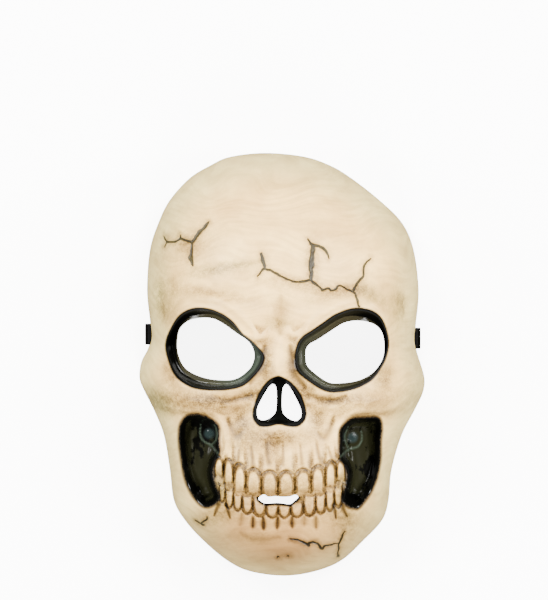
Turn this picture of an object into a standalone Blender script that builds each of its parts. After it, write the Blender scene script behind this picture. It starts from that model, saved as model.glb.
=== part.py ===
"""Skull mask: a thin vacuum-formed plastic face with one flat woven elastic.

Lengths are metres. The mask lies face up on its trimmed rim, so +Z is the way the face looks,
+Y is the crown and +X is the right of the face as a viewer sees it. The origin is on the floor
under the middle of the outline.

The face is a height over the floor at each point of the outline. Its tables give places across as
shares of half the mask's width, places up as shares of half its height, and heights as shares of
its depth.
"""
import math

import bmesh
import bpy
import numpy as np
from mathutils import Vector
from mathutils.geometry import delaunay_2d_cdt

MASK_WIDTH = 0.189
MASK_HEIGHT = 0.280
MASK_DEPTH = 0.088
WALL = 0.0015
STRAP_WIDTH = 0.014
STRAP_THICKNESS = 0.0012
SLOT_CLEARANCE = 0.0003
SLOT_HEIGHT = 0.0095
TAB_LENGTH = 0.008
TAB_LAYERS = 2
COARSE_SPACING = 0.0095
FINE_SPACING = 0.0045
TOOTH_SPACING = 0.0026

# Outline of the rim: height up, then how far it reaches left and right.
RIM = (
    (1.000, -0.112, -0.112),
    (0.982, -0.365, 0.161),
    (0.939, -0.509, 0.344),
    (0.882, -0.646, 0.484),
    (0.778, -0.786, 0.681),
    (0.669, -0.867, 0.842),
    (0.541, -0.926, 0.923),
    (0.352, -0.946, 0.958),
    (0.200, -0.924, 0.940),
    (0.125, -0.916, 0.930),
    (0.068, -0.944, 0.942),
    (0.011, -0.986, 0.968),
    (-0.065, -0.999, 0.999),
    (-0.131, -0.961, 0.989),
    (-0.216, -0.898, 0.930),
    (-0.335, -0.828, 0.839),
    (-0.500, -0.786, 0.768),
    (-0.643, -0.758, 0.747),
    (-0.737, -0.681, 0.702),
    (-0.832, -0.554, 0.572),
    (-0.927, -0.386, 0.418),
    (-0.979, -0.225, 0.232),
    (-1.000, 0.014, 0.014),
)

# Profile down the middle of the face: height up, height over the floor of the full dome.
PROFILE = (
    (1.00, 0.80), (0.70, 0.88), (0.45, 0.93), (0.22, 0.93), (0.05, 0.89),
    (-0.20, 0.88), (-0.45, 0.93), (-0.65, 1.00), (-0.82, 1.06), (-1.00, 1.08),
)

# Rounded swellings and dents: centre across and up, half lengths across and up, turn in degrees,
# and rise (a dent is negative).
RELIEF = (
    ("bridge", -0.02, 0.05, 0.11, 0.13, 0, 0.045),
    ("nasal_tip", -0.02, -0.03, 0.10, 0.06, 0, 0.040),
    ("nasion", -0.02, 0.19, 0.12, 0.06, 0, -0.030),
    ("left_brow", -0.36, 0.28, 0.28, 0.065, -20, 0.065),
    ("right_brow", 0.33, 0.28, 0.28, 0.065, 24, 0.065),
    ("left_temple_dent", -0.84, 0.27, 0.10, 0.12, 0, -0.075),
    ("right_temple_dent", 0.85, 0.27, 0.10, 0.12, 0, -0.075),
    ("left_cheekbone", -0.60, -0.165, 0.27, 0.055, -8, 0.095),
    ("right_cheekbone", 0.60, -0.170, 0.27, 0.055, 8, 0.095),
    ("left_under_eye", -0.27, -0.215, 0.10, 0.060, 20, -0.045),
    ("right_under_eye", 0.23, -0.215, 0.10, 0.060, -20, -0.045),
    ("spine", -0.02, -0.30, 0.07, 0.040, 0, 0.030),
    ("upper_jaw", -0.02, -0.48, 0.36, 0.16, 0, 0.050),
    ("mouth_line", -0.02, -0.62, 0.45, 0.030, 0, -0.030),
    ("chin_fold", -0.02, -0.745, 0.30, 0.035, 0, -0.050),
    ("chin", -0.01, -0.86, 0.22, 0.080, 0, 0.035),
    ("crown_fullness", -0.20, 0.62, 0.45, 0.22, 0, 0.020),
)

# Eye sockets: the brim of the socket, then the same station on the hole.
LEFT_SOCKET = (
    (-0.126, 0.050, -0.191, 0.053),
    (-0.142, -0.001, -0.208, 0.002),
    (-0.200, -0.052, -0.249, -0.031),
    (-0.269, -0.091, -0.304, -0.057),
    (-0.372, -0.109, -0.373, -0.068),
    (-0.516, -0.111, -0.497, -0.063),
    (-0.632, -0.096, -0.607, -0.040),
    (-0.728, -0.052, -0.676, -0.007),
    (-0.783, 0.022, -0.714, 0.044),
    (-0.805, 0.101, -0.726, 0.095),
    (-0.763, 0.177, -0.713, 0.160),
    (-0.701, 0.235, -0.676, 0.193),
    (-0.612, 0.265, -0.621, 0.214),
    (-0.509, 0.264, -0.532, 0.222),
    (-0.413, 0.240, -0.463, 0.215),
    (-0.337, 0.203, -0.401, 0.193),
    (-0.269, 0.147, -0.318, 0.153),
    (-0.200, 0.109, -0.225, 0.107),
)
RIGHT_SOCKET = (
    (0.087, 0.027, 0.162, 0.035),
    (0.097, 0.087, 0.164, 0.074),
    (0.136, 0.133, 0.189, 0.100),
    (0.205, 0.165, 0.240, 0.119),
    (0.280, 0.200, 0.302, 0.146),
    (0.355, 0.235, 0.364, 0.174),
    (0.438, 0.258, 0.423, 0.197),
    (0.513, 0.267, 0.495, 0.208),
    (0.602, 0.258, 0.578, 0.204),
    (0.671, 0.228, 0.647, 0.186),
    (0.712, 0.175, 0.690, 0.151),
    (0.733, 0.105, 0.706, 0.095),
    (0.715, 0.040, 0.696, 0.035),
    (0.671, -0.017, 0.652, -0.015),
    (0.609, -0.068, 0.595, -0.048),
    (0.506, -0.103, 0.516, -0.071),
    (0.397, -0.119, 0.419, -0.081),
    (0.294, -0.115, 0.326, -0.079),
    (0.184, -0.071, 0.240, -0.044),
    (0.105, -0.024, 0.175, -0.003),
)

# Nose: the brim of the pear-shaped opening and the two nostrils cut in its floor.
NOSE_BRIM = (
    (-0.025, -0.047), (0.018, -0.058), (0.057, -0.075), (0.105, -0.111), (0.136, -0.149),
    (0.160, -0.201), (0.162, -0.231), (0.144, -0.258), (0.105, -0.277), (0.053, -0.278),
    (-0.025, -0.268), (-0.097, -0.278), (-0.152, -0.277), (-0.182, -0.260), (-0.200, -0.237),
    (-0.197, -0.201), (-0.182, -0.166), (-0.152, -0.119), (-0.113, -0.081), (-0.073, -0.058),
)
LEFT_NOSTRIL = (
    (-0.060, -0.084), (-0.042, -0.100), (-0.038, -0.138), (-0.040, -0.191), (-0.049, -0.218),
    (-0.078, -0.238), (-0.113, -0.250), (-0.148, -0.250), (-0.170, -0.234), (-0.171, -0.199),
    (-0.155, -0.172), (-0.118, -0.126), (-0.085, -0.094),
)
RIGHT_NOSTRIL = (
    (0.029, -0.084), (0.007, -0.100), (0.001, -0.125), (-0.002, -0.179), (0.007, -0.218),
    (0.036, -0.239), (0.071, -0.252), (0.103, -0.253), (0.127, -0.238), (0.132, -0.215),
    (0.121, -0.188), (0.093, -0.148), (0.060, -0.108),
)

# Slit between the rows of teeth.
MOUTH_SLIT = (
    (-0.163, -0.611), (-0.126, -0.593), (-0.096, -0.604), (-0.044, -0.601), (0.000, -0.604),
    (0.055, -0.602), (0.089, -0.594), (0.111, -0.606), (0.081, -0.626), (0.048, -0.639),
    (-0.030, -0.633), (-0.111, -0.636), (-0.148, -0.624),
)

# Closed hollows between cheekbone, jaw and teeth.
LEFT_HOLLOW = (
    (-0.697, -0.272), (-0.647, -0.234), (-0.564, -0.231), (-0.489, -0.249), (-0.439, -0.282),
    (-0.437, -0.347), (-0.432, -0.403), (-0.464, -0.445), (-0.481, -0.499), (-0.464, -0.555),
    (-0.435, -0.603), (-0.456, -0.635), (-0.504, -0.654), (-0.552, -0.651), (-0.614, -0.606),
    (-0.665, -0.533), (-0.697, -0.426), (-0.710, -0.338),
)
RIGHT_HOLLOW = (
    (0.399, -0.300), (0.432, -0.268), (0.482, -0.247), (0.591, -0.242), (0.664, -0.247),
    (0.683, -0.291), (0.676, -0.356), (0.674, -0.443), (0.650, -0.522), (0.616, -0.578),
    (0.574, -0.623), (0.524, -0.660), (0.474, -0.657), (0.432, -0.640), (0.416, -0.612),
    (0.437, -0.561), (0.449, -0.511), (0.435, -0.465), (0.397, -0.428), (0.395, -0.365),
)

# Teeth of each row: middle across, half width, gum line and biting edge.
UPPER_TEETH = (
    (-0.434, 0.033, -0.428, -0.517),
    (-0.367, 0.034, -0.437, -0.548),
    (-0.291, 0.042, -0.458, -0.585),
    (-0.196, 0.053, -0.480, -0.590),
    (-0.086, 0.057, -0.490, -0.592),
    (0.029, 0.057, -0.490, -0.592),
    (0.142, 0.055, -0.482, -0.588),
    (0.245, 0.047, -0.466, -0.582),
    (0.331, 0.038, -0.446, -0.562),
    (0.403, 0.033, -0.434, -0.536),
)
LOWER_TEETH = (
    (-0.304, 0.029, -0.602, -0.664),
    (-0.238, 0.037, -0.612, -0.678),
    (-0.155, 0.045, -0.618, -0.690),
    (-0.069, 0.041, -0.642, -0.694),
    (0.015, 0.042, -0.642, -0.694),
    (0.101, 0.044, -0.632, -0.692),
    (0.187, 0.042, -0.612, -0.688),
    (0.263, 0.035, -0.604, -0.678),
    (0.327, 0.029, -0.594, -0.666),
    (0.385, 0.029, -0.582, -0.650),
)

DOME_FULLNESS = 2.6
SOCKET_FLOOR = 0.78
SOCKET_WALL_SHARE = 0.62
SOCKET_LIP_RISE = 0.022
SOCKET_LIP_WIDTH = 0.0045
NOSE_SINK = 0.085
NOSE_WALL = 0.0030
HOLLOW_SINK = 0.17
HOLLOW_WALL = 0.0055
TOOTH_RISE = 0.040
TOOTH_EDGE = 0.0016

# Where each slot is up the face.
LEFT_SLOT_UP = 0.143
RIGHT_SLOT_UP = 0.124

# The strap just inside a slot: distance in and up as shares of its width, height of its middle as a
# share of the slot's, and how far it has turned from lying flat (0) to standing on its edge (1).
STRAP_TWIST = (
    (0.00, 0.00, 1.00, 0.00),
    (0.25, 0.01, 0.98, 0.28),
    (0.49, 0.10, 0.93, 0.62),
    (0.65, 0.34, 0.84, 0.86),
)

# The strap's arch under the forehead, where it stands on its edge: degrees round from the side,
# and share of the way out to the rim.
STRAP_ARCH = ((23, 0.84), (32, 0.845), (45, 0.83), (60, 0.80), (75, 0.79), (90, 0.79))


def make_collection(name):
    """Returns a new collection linked to the scene."""
    collection = bpy.data.collections.new(name)
    bpy.context.scene.collection.children.link(collection)
    return collection


def make_material(name, colour, roughness):
    """Returns a Principled material."""
    material = bpy.data.materials.new(name)
    material.use_nodes = True
    shader = material.node_tree.nodes["Principled BSDF"]
    shader.inputs["Base Color"].default_value = (*colour, 1)
    shader.inputs["Roughness"].default_value = roughness
    shader.inputs["Metallic"].default_value = 0
    return material


def smooth_curve(points, steps=12, closed=True):
    """Returns a smooth curve through points, with even steps between neighbours."""
    points = np.array(points, dtype=float)
    if not closed:
        points = np.vstack([points[:1], points, points[-1:]])
    before, after, later = np.roll(points, 1, 0), np.roll(points, -1, 0), np.roll(points, -2, 0)
    spans = list(zip(before, points, after, later))
    if not closed:
        spans = spans[1:-2]
    curve = []
    for p0, p1, p2, p3 in spans:
        for t in np.arange(steps) / steps:
            bend = (2 * p0 - 5 * p1 + 4 * p2 - p3) * t ** 2 + (3 * p1 - p0 - 3 * p2 + p3) * t ** 3
            curve.append((2 * p1 + (p2 - p0) * t + bend) / 2)
    if not closed:
        curve.append(points[-1])
    return np.array(curve)


def even_loop(curve, count):
    """Returns count points spaced evenly by the first two columns of a closed curve."""
    closed = np.vstack([curve, curve[:1]])
    steps = np.hypot(*np.diff(closed[:, :2], axis=0).T)
    run = np.concatenate([[0], np.cumsum(steps)])
    stations = np.linspace(0, run[-1], count, endpoint=False)
    return np.stack([np.interp(stations, run, column) for column in closed.T], 1)


def to_metres(shares):
    """Turns shares of the outline into metres."""
    sizes = np.tile([MASK_WIDTH / 2, MASK_HEIGHT / 2], shares.shape[1] // 2)
    return shares * sizes


def loop_length(loop):
    """Length round a closed loop."""
    return np.hypot(*(np.roll(loop[:, :2], -1, 0) - loop[:, :2]).T).sum()


def even_ring(loop, spacing):
    """Returns a closed curve's points at about the spacing."""
    return even_loop(loop, max(12, round(loop_length(loop) / spacing)))


def offset_loop(loop, distance):
    """Moves a closed loop inwards by a distance, without the points that would crowd a corner."""
    along = np.roll(loop, -1, 0) - np.roll(loop, 1, 0)
    area = (loop[:, 0] * np.roll(loop[:, 1], -1) - loop[:, 1] * np.roll(loop[:, 0], -1)).sum()
    inwards = np.stack([-along[:, 1], along[:, 0]], 1) / np.hypot(*along.T)[:, None] * np.sign(area)
    moved = loop + distance * inwards
    reached = np.sign(distance) * inside_depth(loop, *moved.T)
    return moved[reached > 0.93 * abs(distance)]


def rim_table():
    """Outline points in order round the mask."""
    left = [(row[1], row[0]) for row in RIM]
    right = [(row[2], row[0]) for row in RIM[1:-1]]
    return left + right[::-1]


def inside_depth(loop, x, y):
    """Distance to a closed loop, positive inside it."""
    start = loop[:, :2]
    along = np.roll(start, -1, 0) - start
    x, y = x[:, None], y[:, None]
    share = (x - start[:, 0]) * along[:, 0] + (y - start[:, 1]) * along[:, 1]
    share = np.clip(share / (along ** 2).sum(1), 0, 1)
    gap = np.hypot(x - start[:, 0] - share * along[:, 0], y - start[:, 1] - share * along[:, 1])
    straddles = (start[:, 1] > y) != (start[:, 1] + along[:, 1] > y)
    slope = np.where(along[:, 1] == 0, 1, along[:, 1])
    crossing = straddles & (x < start[:, 0] + along[:, 0] * (y - start[:, 1]) / slope)
    return np.where(crossing.sum(1) % 2 == 1, 1, -1) * gap.min(1)


def smooth_step(value):
    """Eases from 0 to 1."""
    value = np.clip(value, 0, 1)
    return value * value * (3 - 2 * value)


class Face:
    """The outer height of the mask over its outline."""

    def __init__(self):
        self.rim = to_metres(smooth_curve(rim_table()))
        angle = np.arctan2(self.rim[:, 1], self.rim[:, 0])
        order = np.argsort(angle)
        self.rim_angle = angle[order]
        self.rim_reach = np.hypot(*self.rim.T)[order]
        self.profile = smooth_curve(PROFILE, 8, closed=False)[::-1]
        self.sockets = []
        for table in (LEFT_SOCKET, RIGHT_SOCKET):
            stations = to_metres(smooth_curve(table, 4))
            self.sockets.append((stations[:, :2], stations[:, 2:]))
        self.nose = to_metres(smooth_curve(NOSE_BRIM, 4))
        self.nostrils = [to_metres(smooth_curve(t, 4)) for t in (LEFT_NOSTRIL, RIGHT_NOSTRIL)]
        self.slit = to_metres(smooth_curve(MOUTH_SLIT, 4))
        self.hollows = [to_metres(smooth_curve(t, 4)) for t in (LEFT_HOLLOW, RIGHT_HOLLOW)]

    def rim_point(self, angle, share):
        """The point a share of the way out to the rim at an angle."""
        reach = np.interp(angle, self.rim_angle, self.rim_reach, period=2 * math.pi)
        return share * reach * math.cos(angle), share * reach * math.sin(angle)

    def rim_share(self, x, y):
        """Distance from the middle as a share of the way to the rim."""
        angle = np.arctan2(y, x)
        return np.hypot(x, y) / np.interp(angle, self.rim_angle, self.rim_reach, period=2 * np.pi)

    def dome(self, x, y):
        """Height of the plain dome."""
        middle = np.interp(2 * y / MASK_HEIGHT, *self.profile.T)
        falling = 1 - np.clip(self.rim_share(x, y), 0, 1) ** DOME_FULLNESS
        return MASK_DEPTH * middle * np.sqrt(falling)

    def height(self, x, y):
        """Height of the outer surface."""
        across, up = 2 * x / MASK_WIDTH, 2 * y / MASK_HEIGHT
        dome = self.dome(x, y)
        near_rim = smooth_step((1 - self.rim_share(x, y)) / 0.12)
        z = dome.copy()
        for _, middle, level, reach, tall, turn, rise in RELIEF:
            cosine, sine = math.cos(math.radians(turn)), math.sin(math.radians(turn))
            proportion = MASK_HEIGHT / MASK_WIDTH
            run = (across - middle) * cosine + (up - level) * proportion * sine
            lift = (up - level) * cosine - (across - middle) / proportion * sine
            z += near_rim * MASK_DEPTH * rise * np.exp(-(run / reach) ** 2 - (lift / tall) ** 2)
        z += near_rim * self.teeth(across, up)
        for brim, hole in self.sockets:
            into = inside_depth(brim, x, y)
            lip = MASK_DEPTH * SOCKET_LIP_RISE * np.exp(-(into / SOCKET_LIP_WIDTH) ** 2)
            z += np.where(into > 0, 0, 1) * lip * near_rim + np.where(into > 0, 1, 0) * lip
            from_hole = np.clip(-inside_depth(hole, x, y), 0, None)
            share = np.clip(into, 0, None) / (np.clip(into, 1e-9, None) + from_hole)
            fall = smooth_step(share / SOCKET_WALL_SHARE)
            z += fall * (SOCKET_FLOOR * dome - z)
        z -= MASK_DEPTH * NOSE_SINK * smooth_step(inside_depth(self.nose, x, y) / NOSE_WALL)
        for hollow in self.hollows:
            z -= MASK_DEPTH * HOLLOW_SINK * smooth_step(inside_depth(hollow, x, y) / HOLLOW_WALL)
        return np.clip(z, 0, None)

    def teeth(self, across, up):
        """Rise of the two rows of teeth."""
        rise = np.zeros_like(across)
        edge = TOOTH_EDGE / (MASK_WIDTH / 2)
        tall_edge = 2 * TOOTH_EDGE / (MASK_HEIGHT / 2)
        for middle, half, top, bottom in UPPER_TEETH + LOWER_TEETH:
            side = smooth_step((half - abs(across - middle)) / edge)
            end = smooth_step(((top - bottom) / 2 - abs(up - (top + bottom) / 2)) / tall_edge)
            rise = np.maximum(rise, side * end)
        return rise * MASK_DEPTH * TOOTH_RISE


def hex_points(low, high, spacing):
    """Points of a grid of equal triangles over a box."""
    rows = np.arange(low[1], high[1], spacing * math.sqrt(3) / 2)
    columns = np.arange(low[0], high[0], spacing)
    x = np.concatenate([columns + (spacing / 2 if i % 2 else 0) for i in range(len(rows))])
    return x, np.repeat(rows, len(columns))


def shell_plan(face):
    """Loops that bound the mask's plan, rings that its faces follow, and the points between."""
    rim = even_ring(face.rim, COARSE_SPACING)
    holes = [even_ring(hole, FINE_SPACING) for _, hole in face.sockets]
    holes += [even_ring(nostril, 0.8 * TOOTH_SPACING) for nostril in face.nostrils]
    holes.append(even_ring(face.slit, TOOTH_SPACING))
    rings = [rim * share for share in (0.997, 0.984, 0.955, 0.910)]
    walls = []
    for brim, hole in face.sockets:
        rings.append(even_ring(offset_loop(brim, -0.6 * FINE_SPACING), FINE_SPACING))
        for share in (0.0, 0.2, 0.4, SOCKET_WALL_SHARE):
            rings.append(even_ring(brim + share * (hole - brim), FINE_SPACING))
        walls.append((brim, math.inf))
    rings.append(even_ring(face.nose, TOOTH_SPACING))
    walls.append((face.nose, math.inf))
    for hollow in face.hollows:
        for share in (0, 0.5, 1):
            rings.append(even_ring(offset_loop(hollow, share * HOLLOW_WALL + 1e-6), FINE_SPACING))
        walls.append((hollow, HOLLOW_WALL))
    groups = []
    low, high = rim.min(0), rim.max(0)
    for spacing, zone in ((TOOTH_SPACING, 2), (FINE_SPACING, 1), (COARSE_SPACING, 0)):
        x, y = hex_points(low, high, spacing)
        chosen = (zone_of(x, y) == zone) & (face.rim_share(x, y) < 0.90)
        for hole in holes:
            chosen &= inside_depth(hole, x, y) < -0.5 * spacing
        for wall, width in walls:
            into = inside_depth(wall, x, y)
            chosen &= (into < -0.4 * spacing) | (into > width + 0.5 * spacing)
        x, y = x[chosen], y[chosen]
        taken = np.vstack(rings + groups)
        clear = [np.hypot(taken[:, 0] - a, taken[:, 1] - b).min() > 0.6 * spacing for a, b in zip(x, y)]
        groups.append(np.stack([x, y], 1)[np.array(clear, bool)])
    return [rim] + holes, rings, np.vstack(groups)


def zone_of(x, y):
    """How fine the plan is at each point: 2 on the teeth, 1 on the features, 0 elsewhere."""
    across, up = 2 * x / MASK_WIDTH, 2 * y / MASK_HEIGHT
    zone = np.zeros(len(x), int)
    zone[(abs(across) < 0.75) & (up < 0.36) & (up > -0.80)] = 1
    zone[(across > -0.48) & (across < 0.45) & (up < -0.41) & (up > -0.71)] = 2
    return zone


def make_shell(face, collection, material):
    """Forms the face: an open surface with its holes, thickened inwards."""
    outlines, rings, between = shell_plan(face)
    edges, first = [], 0
    for loop in outlines + rings:
        edges += [(first + i, first + (i + 1) % len(loop)) for i in range(len(loop))]
        first += len(loop)
    points = np.vstack(outlines + rings + [between])
    plan = delaunay_2d_cdt([Vector(point) for point in points], edges, [], 0, 1e-7)
    flat = np.array([tuple(point) for point in plan[0]])
    triangles = np.array(plan[2])
    middles = flat[triangles].mean(1)
    solid = inside_depth(outlines[0], *middles.T) > 0
    for hole in outlines[1:]:
        solid &= inside_depth(hole, *middles.T) < 0
    height = face.height(*flat.T)
    on_rim = np.abs(inside_depth(outlines[0], *flat.T)) < 1e-6
    height[on_rim] = -WALL
    sheet = bmesh.new()
    corners = [sheet.verts.new((*point, z)) for point, z in zip(flat, height)]
    for triangle in triangles[solid]:
        sheet.faces.new([corners[i] for i in triangle])
    loose = [corner for corner in sheet.verts if not corner.link_faces]
    bmesh.ops.delete(sheet, geom=loose, context="VERTS")
    mesh = bpy.data.meshes.new("mask_shell")
    sheet.to_mesh(mesh)
    sheet.free()
    mesh.shade_smooth()
    mesh.materials.append(material)
    shell = bpy.data.objects.new("mask_shell", mesh)
    collection.objects.link(shell)
    thicken = shell.modifiers.new("Wall", "SOLIDIFY")
    thicken.thickness = WALL
    thicken.offset = -1
    return shell


def cut_box(shell, name, size, location, cutters):
    """Takes a box out of the shell."""
    bpy.ops.mesh.primitive_cube_add(size=1, location=location)
    block = bpy.context.object
    block.name = name
    block.scale = size
    bpy.ops.object.transform_apply(location=False, rotation=False, scale=True)
    hide_cutter(block, cutters)
    cut = shell.modifiers.new(name, "BOOLEAN")
    cut.operation = "DIFFERENCE"
    cut.object = block


def trim_and_slot(face, shell, cutters):
    """Trims the rim flat on the floor and cuts a slot for the strap at each temple."""
    stock = 4 * WALL
    cut_box(shell, "rim_trim", (2 * MASK_WIDTH, 2 * MASK_HEIGHT, stock), (0, 0, -stock / 2), cutters)
    long = STRAP_WIDTH + 2 * SLOT_CLEARANCE
    thin = STRAP_THICKNESS + 2 * SLOT_CLEARANCE
    for name, side, up in (("left", -1, LEFT_SLOT_UP), ("right", 1, RIGHT_SLOT_UP)):
        place = (side * slot_mouth(face, side, up), up * MASK_HEIGHT / 2, SLOT_HEIGHT)
        cut_box(shell, name + "_slot", (6 * WALL, long, thin), place, cutters)


def temple_reach(face, side, up):
    """How far out the rim comes over the width of the strap: the least and the most."""
    beside = abs(face.rim[:, 1] - up * MASK_HEIGHT / 2) < STRAP_WIDTH / 2 + 2 * SLOT_CLEARANCE
    reach = side * face.rim[beside & (side * face.rim[:, 0] > 0), 0]
    return reach.min(), reach.max()


def slot_mouth(face, side, up):
    """How far out the inner face of the wall is where the strap comes through it."""
    full = MASK_DEPTH * np.interp(up, *face.profile.T)
    lean = (1 - (SLOT_HEIGHT / full) ** 2) ** (1 / DOME_FULLNESS)
    return temple_reach(face, side, up)[0] * lean - WALL - 2 * SLOT_CLEARANCE


def strap_half(face, side, up):
    """Middle line of the strap from a slot to the top of its arch, with its turn."""
    mouth = slot_mouth(face, side, up)
    level = up * MASK_HEIGHT / 2
    line = []
    for inwards, lift, height, turn in STRAP_TWIST:
        x = side * (mouth - inwards * STRAP_WIDTH)
        line.append((x, level + lift * STRAP_WIDTH, height * SLOT_HEIGHT, turn))
    for degrees, share in STRAP_ARCH:
        angle = math.radians(degrees if side > 0 else 180 - degrees)
        line.append((*face.rim_point(angle, share), STRAP_WIDTH / 2, 1))
    return line


def make_strap(face, collection, material):
    """Makes the strap: a flat band between the slots, with a folded tab outside each."""
    left = strap_half(face, -1, LEFT_SLOT_UP)
    right = strap_half(face, 1, RIGHT_SLOT_UP)
    line = smooth_curve(left + right[-2::-1], 5, closed=False)
    middle, turn = line[:, :3], line[:, 3].clip(0, 1) * math.pi / 2
    standing = (np.sin(turn) * STRAP_WIDTH + np.cos(turn) * STRAP_THICKNESS) / 2
    middle[:, 2] = np.maximum(middle[:, 2], standing)
    ahead = np.gradient(middle[:, :2], axis=0)
    ahead /= np.hypot(*ahead.T)[:, None]
    ahead[0] = ahead[-1] = (1, 0)
    sections = []
    for place, (tx, ty), angle in zip(middle, ahead, turn):
        side = np.array([-ty, tx, 0])
        upright = np.array([0, 0, 1])
        wide = (math.cos(angle) * side + math.sin(angle) * upright) * STRAP_WIDTH / 2
        thick = (math.cos(angle) * upright - math.sin(angle) * side) * STRAP_THICKNESS / 2
        sections.append([place - wide - thick, place + wide - thick, place + wide + thick,
                         place - wide + thick])
    sections = tab_sections(face, -1, LEFT_SLOT_UP) + sections
    sections += tab_sections(face, 1, RIGHT_SLOT_UP)[::-1]
    band = bmesh.new()
    rings = [[band.verts.new(corner) for corner in section] for section in sections]
    for near, far in zip(rings, rings[1:]):
        for i in range(4):
            band.faces.new((near[i], near[(i + 1) % 4], far[(i + 1) % 4], far[i]))
    band.faces.new(rings[0][::-1])
    band.faces.new(rings[-1])
    bmesh.ops.triangulate(band, faces=band.faces)
    bmesh.ops.recalc_face_normals(band, faces=band.faces)
    mesh = bpy.data.meshes.new("elastic_band")
    band.to_mesh(mesh)
    band.free()
    mesh.materials.append(material)
    collection.objects.link(bpy.data.objects.new("elastic_band", mesh))


def tab_sections(face, side, up):
    """Sections of a folded tab, from its lower end to where it turns in through the slot."""
    inner = temple_reach(face, side, up)[1] + SLOT_CLEARANCE
    outer = inner + TAB_LAYERS * STRAP_THICKNESS
    level = up * MASK_HEIGHT / 2
    low, high = SLOT_HEIGHT - STRAP_THICKNESS / 2, SLOT_HEIGHT + STRAP_THICKNESS / 2
    sections = []
    for under, over in ((high - TAB_LENGTH,) * 2, (low, high)):
        ends = ((-1, inner, under), (1, inner, under), (1, outer, over), (-1, outer, over))
        sections.append([(side * x, level + y * STRAP_WIDTH / 2, z) for y, x, z in ends])
    return sections


def hide_cutter(block, cutters):
    """Moves a cutter to its own collection and shows it as wire."""
    for collection in list(block.users_collection):
        collection.objects.unlink(block)
    cutters.objects.link(block)
    block.hide_render = True
    block.display_type = "WIRE"


def build():
    for leftover in list(bpy.data.objects):
        bpy.data.objects.remove(leftover, do_unlink=True)
    mask = make_collection("skull_mask")
    cutters = make_collection("cutters")
    bone = make_material("painted_bone_plastic", (0.80, 0.74, 0.62), 0.45)
    elastic = make_material("black_elastic", (0.02, 0.02, 0.02), 0.85)
    face = Face()
    shell = make_shell(face, mask, bone)
    trim_and_slot(face, shell, cutters)
    make_strap(face, mask, elastic)


build()
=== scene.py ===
"""Skull mask: the looks of a vacuum-formed plastic skull face and its black elastic.

The mask lies face up on its rim, and the camera looks straight down on it. Lengths are metres.
"""
import math

import bmesh
import bpy
import numpy as np
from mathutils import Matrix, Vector
from mathutils.geometry import delaunay_2d_cdt
from mathutils.kdtree import KDTree


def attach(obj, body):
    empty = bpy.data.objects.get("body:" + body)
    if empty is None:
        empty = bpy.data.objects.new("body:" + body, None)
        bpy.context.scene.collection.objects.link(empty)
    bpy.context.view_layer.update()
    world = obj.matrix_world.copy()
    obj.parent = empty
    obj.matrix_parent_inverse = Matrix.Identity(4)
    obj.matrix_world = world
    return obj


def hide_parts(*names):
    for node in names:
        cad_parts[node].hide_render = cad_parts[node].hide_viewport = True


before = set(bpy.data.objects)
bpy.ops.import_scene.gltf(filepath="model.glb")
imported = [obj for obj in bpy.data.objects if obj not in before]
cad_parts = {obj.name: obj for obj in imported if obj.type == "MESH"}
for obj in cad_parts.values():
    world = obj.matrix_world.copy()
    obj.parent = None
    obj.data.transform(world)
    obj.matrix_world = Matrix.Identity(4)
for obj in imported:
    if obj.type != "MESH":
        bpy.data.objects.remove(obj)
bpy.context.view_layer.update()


# The view
# The mask is seen square on, from straight above, through a long lens.
# The picture's middle lies on the forehead, a little to one side of the mask's own middle.
VIEW_DISTANCE = 3.0
VIEW_HEIGHT = 0.3976
VIEW_MIDDLE = (-0.0053, 0.0426)
SENSOR_HEIGHT = 24.0

lens = bpy.data.cameras.new("product_lens")
lens.sensor_fit = "VERTICAL"
lens.sensor_height = SENSOR_HEIGHT
lens.lens = SENSOR_HEIGHT * VIEW_DISTANCE / VIEW_HEIGHT
lens.clip_end = 20
camera = bpy.data.objects.new("product_camera", lens)
camera.location = (*VIEW_MIDDLE, VIEW_DISTANCE)
bpy.context.scene.collection.objects.link(camera)
bpy.context.scene.camera = camera


# The floor
# A sheet of white paper on a light table: matt, and lit a little from below so that it stays pale
# under the mask too.
FLOOR_SIZE = 6.0


def linear(hex_colour):
    """Turns an sRGB hex colour into the linear colour that shaders take."""
    parts = [int(hex_colour[i:i + 2], 16) / 255 for i in (1, 3, 5)]
    return (*[p / 12.92 if p <= 0.04045 else ((p + 0.055) / 1.055) ** 2.4 for p in parts], 1)


def add_node(tree, kind, settings, inputs):
    """Adds a node with its own settings, and fills or links its inputs."""
    made = tree.nodes.new(kind)
    for name, value in settings.items():
        setattr(made, name, value)
    for name, value in inputs.items():
        if isinstance(value, bpy.types.NodeSocket):
            tree.links.new(value, made.inputs[name])
        else:
            made.inputs[name].default_value = value
    return made


white_paper = bpy.data.materials.new("white_paper")
white_paper.use_nodes = True
paper_shader = white_paper.node_tree.nodes["Principled BSDF"]
paper_shader.inputs["Base Color"].default_value = linear("#F4F3F1")
paper_shader.inputs["Roughness"].default_value = 0.9
paper_shader.inputs["Emission Color"].default_value = linear("#FFFFFF")
paper_shader.inputs["Emission Strength"].default_value = 6.5
bpy.ops.mesh.primitive_grid_add(x_subdivisions=2, y_subdivisions=2, size=FLOOR_SIZE)
floor = bpy.context.object
floor.name = "paper_floor"
floor.data.materials.append(white_paper)
floor.visible_diffuse = False
floor.visible_glossy = False


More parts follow.
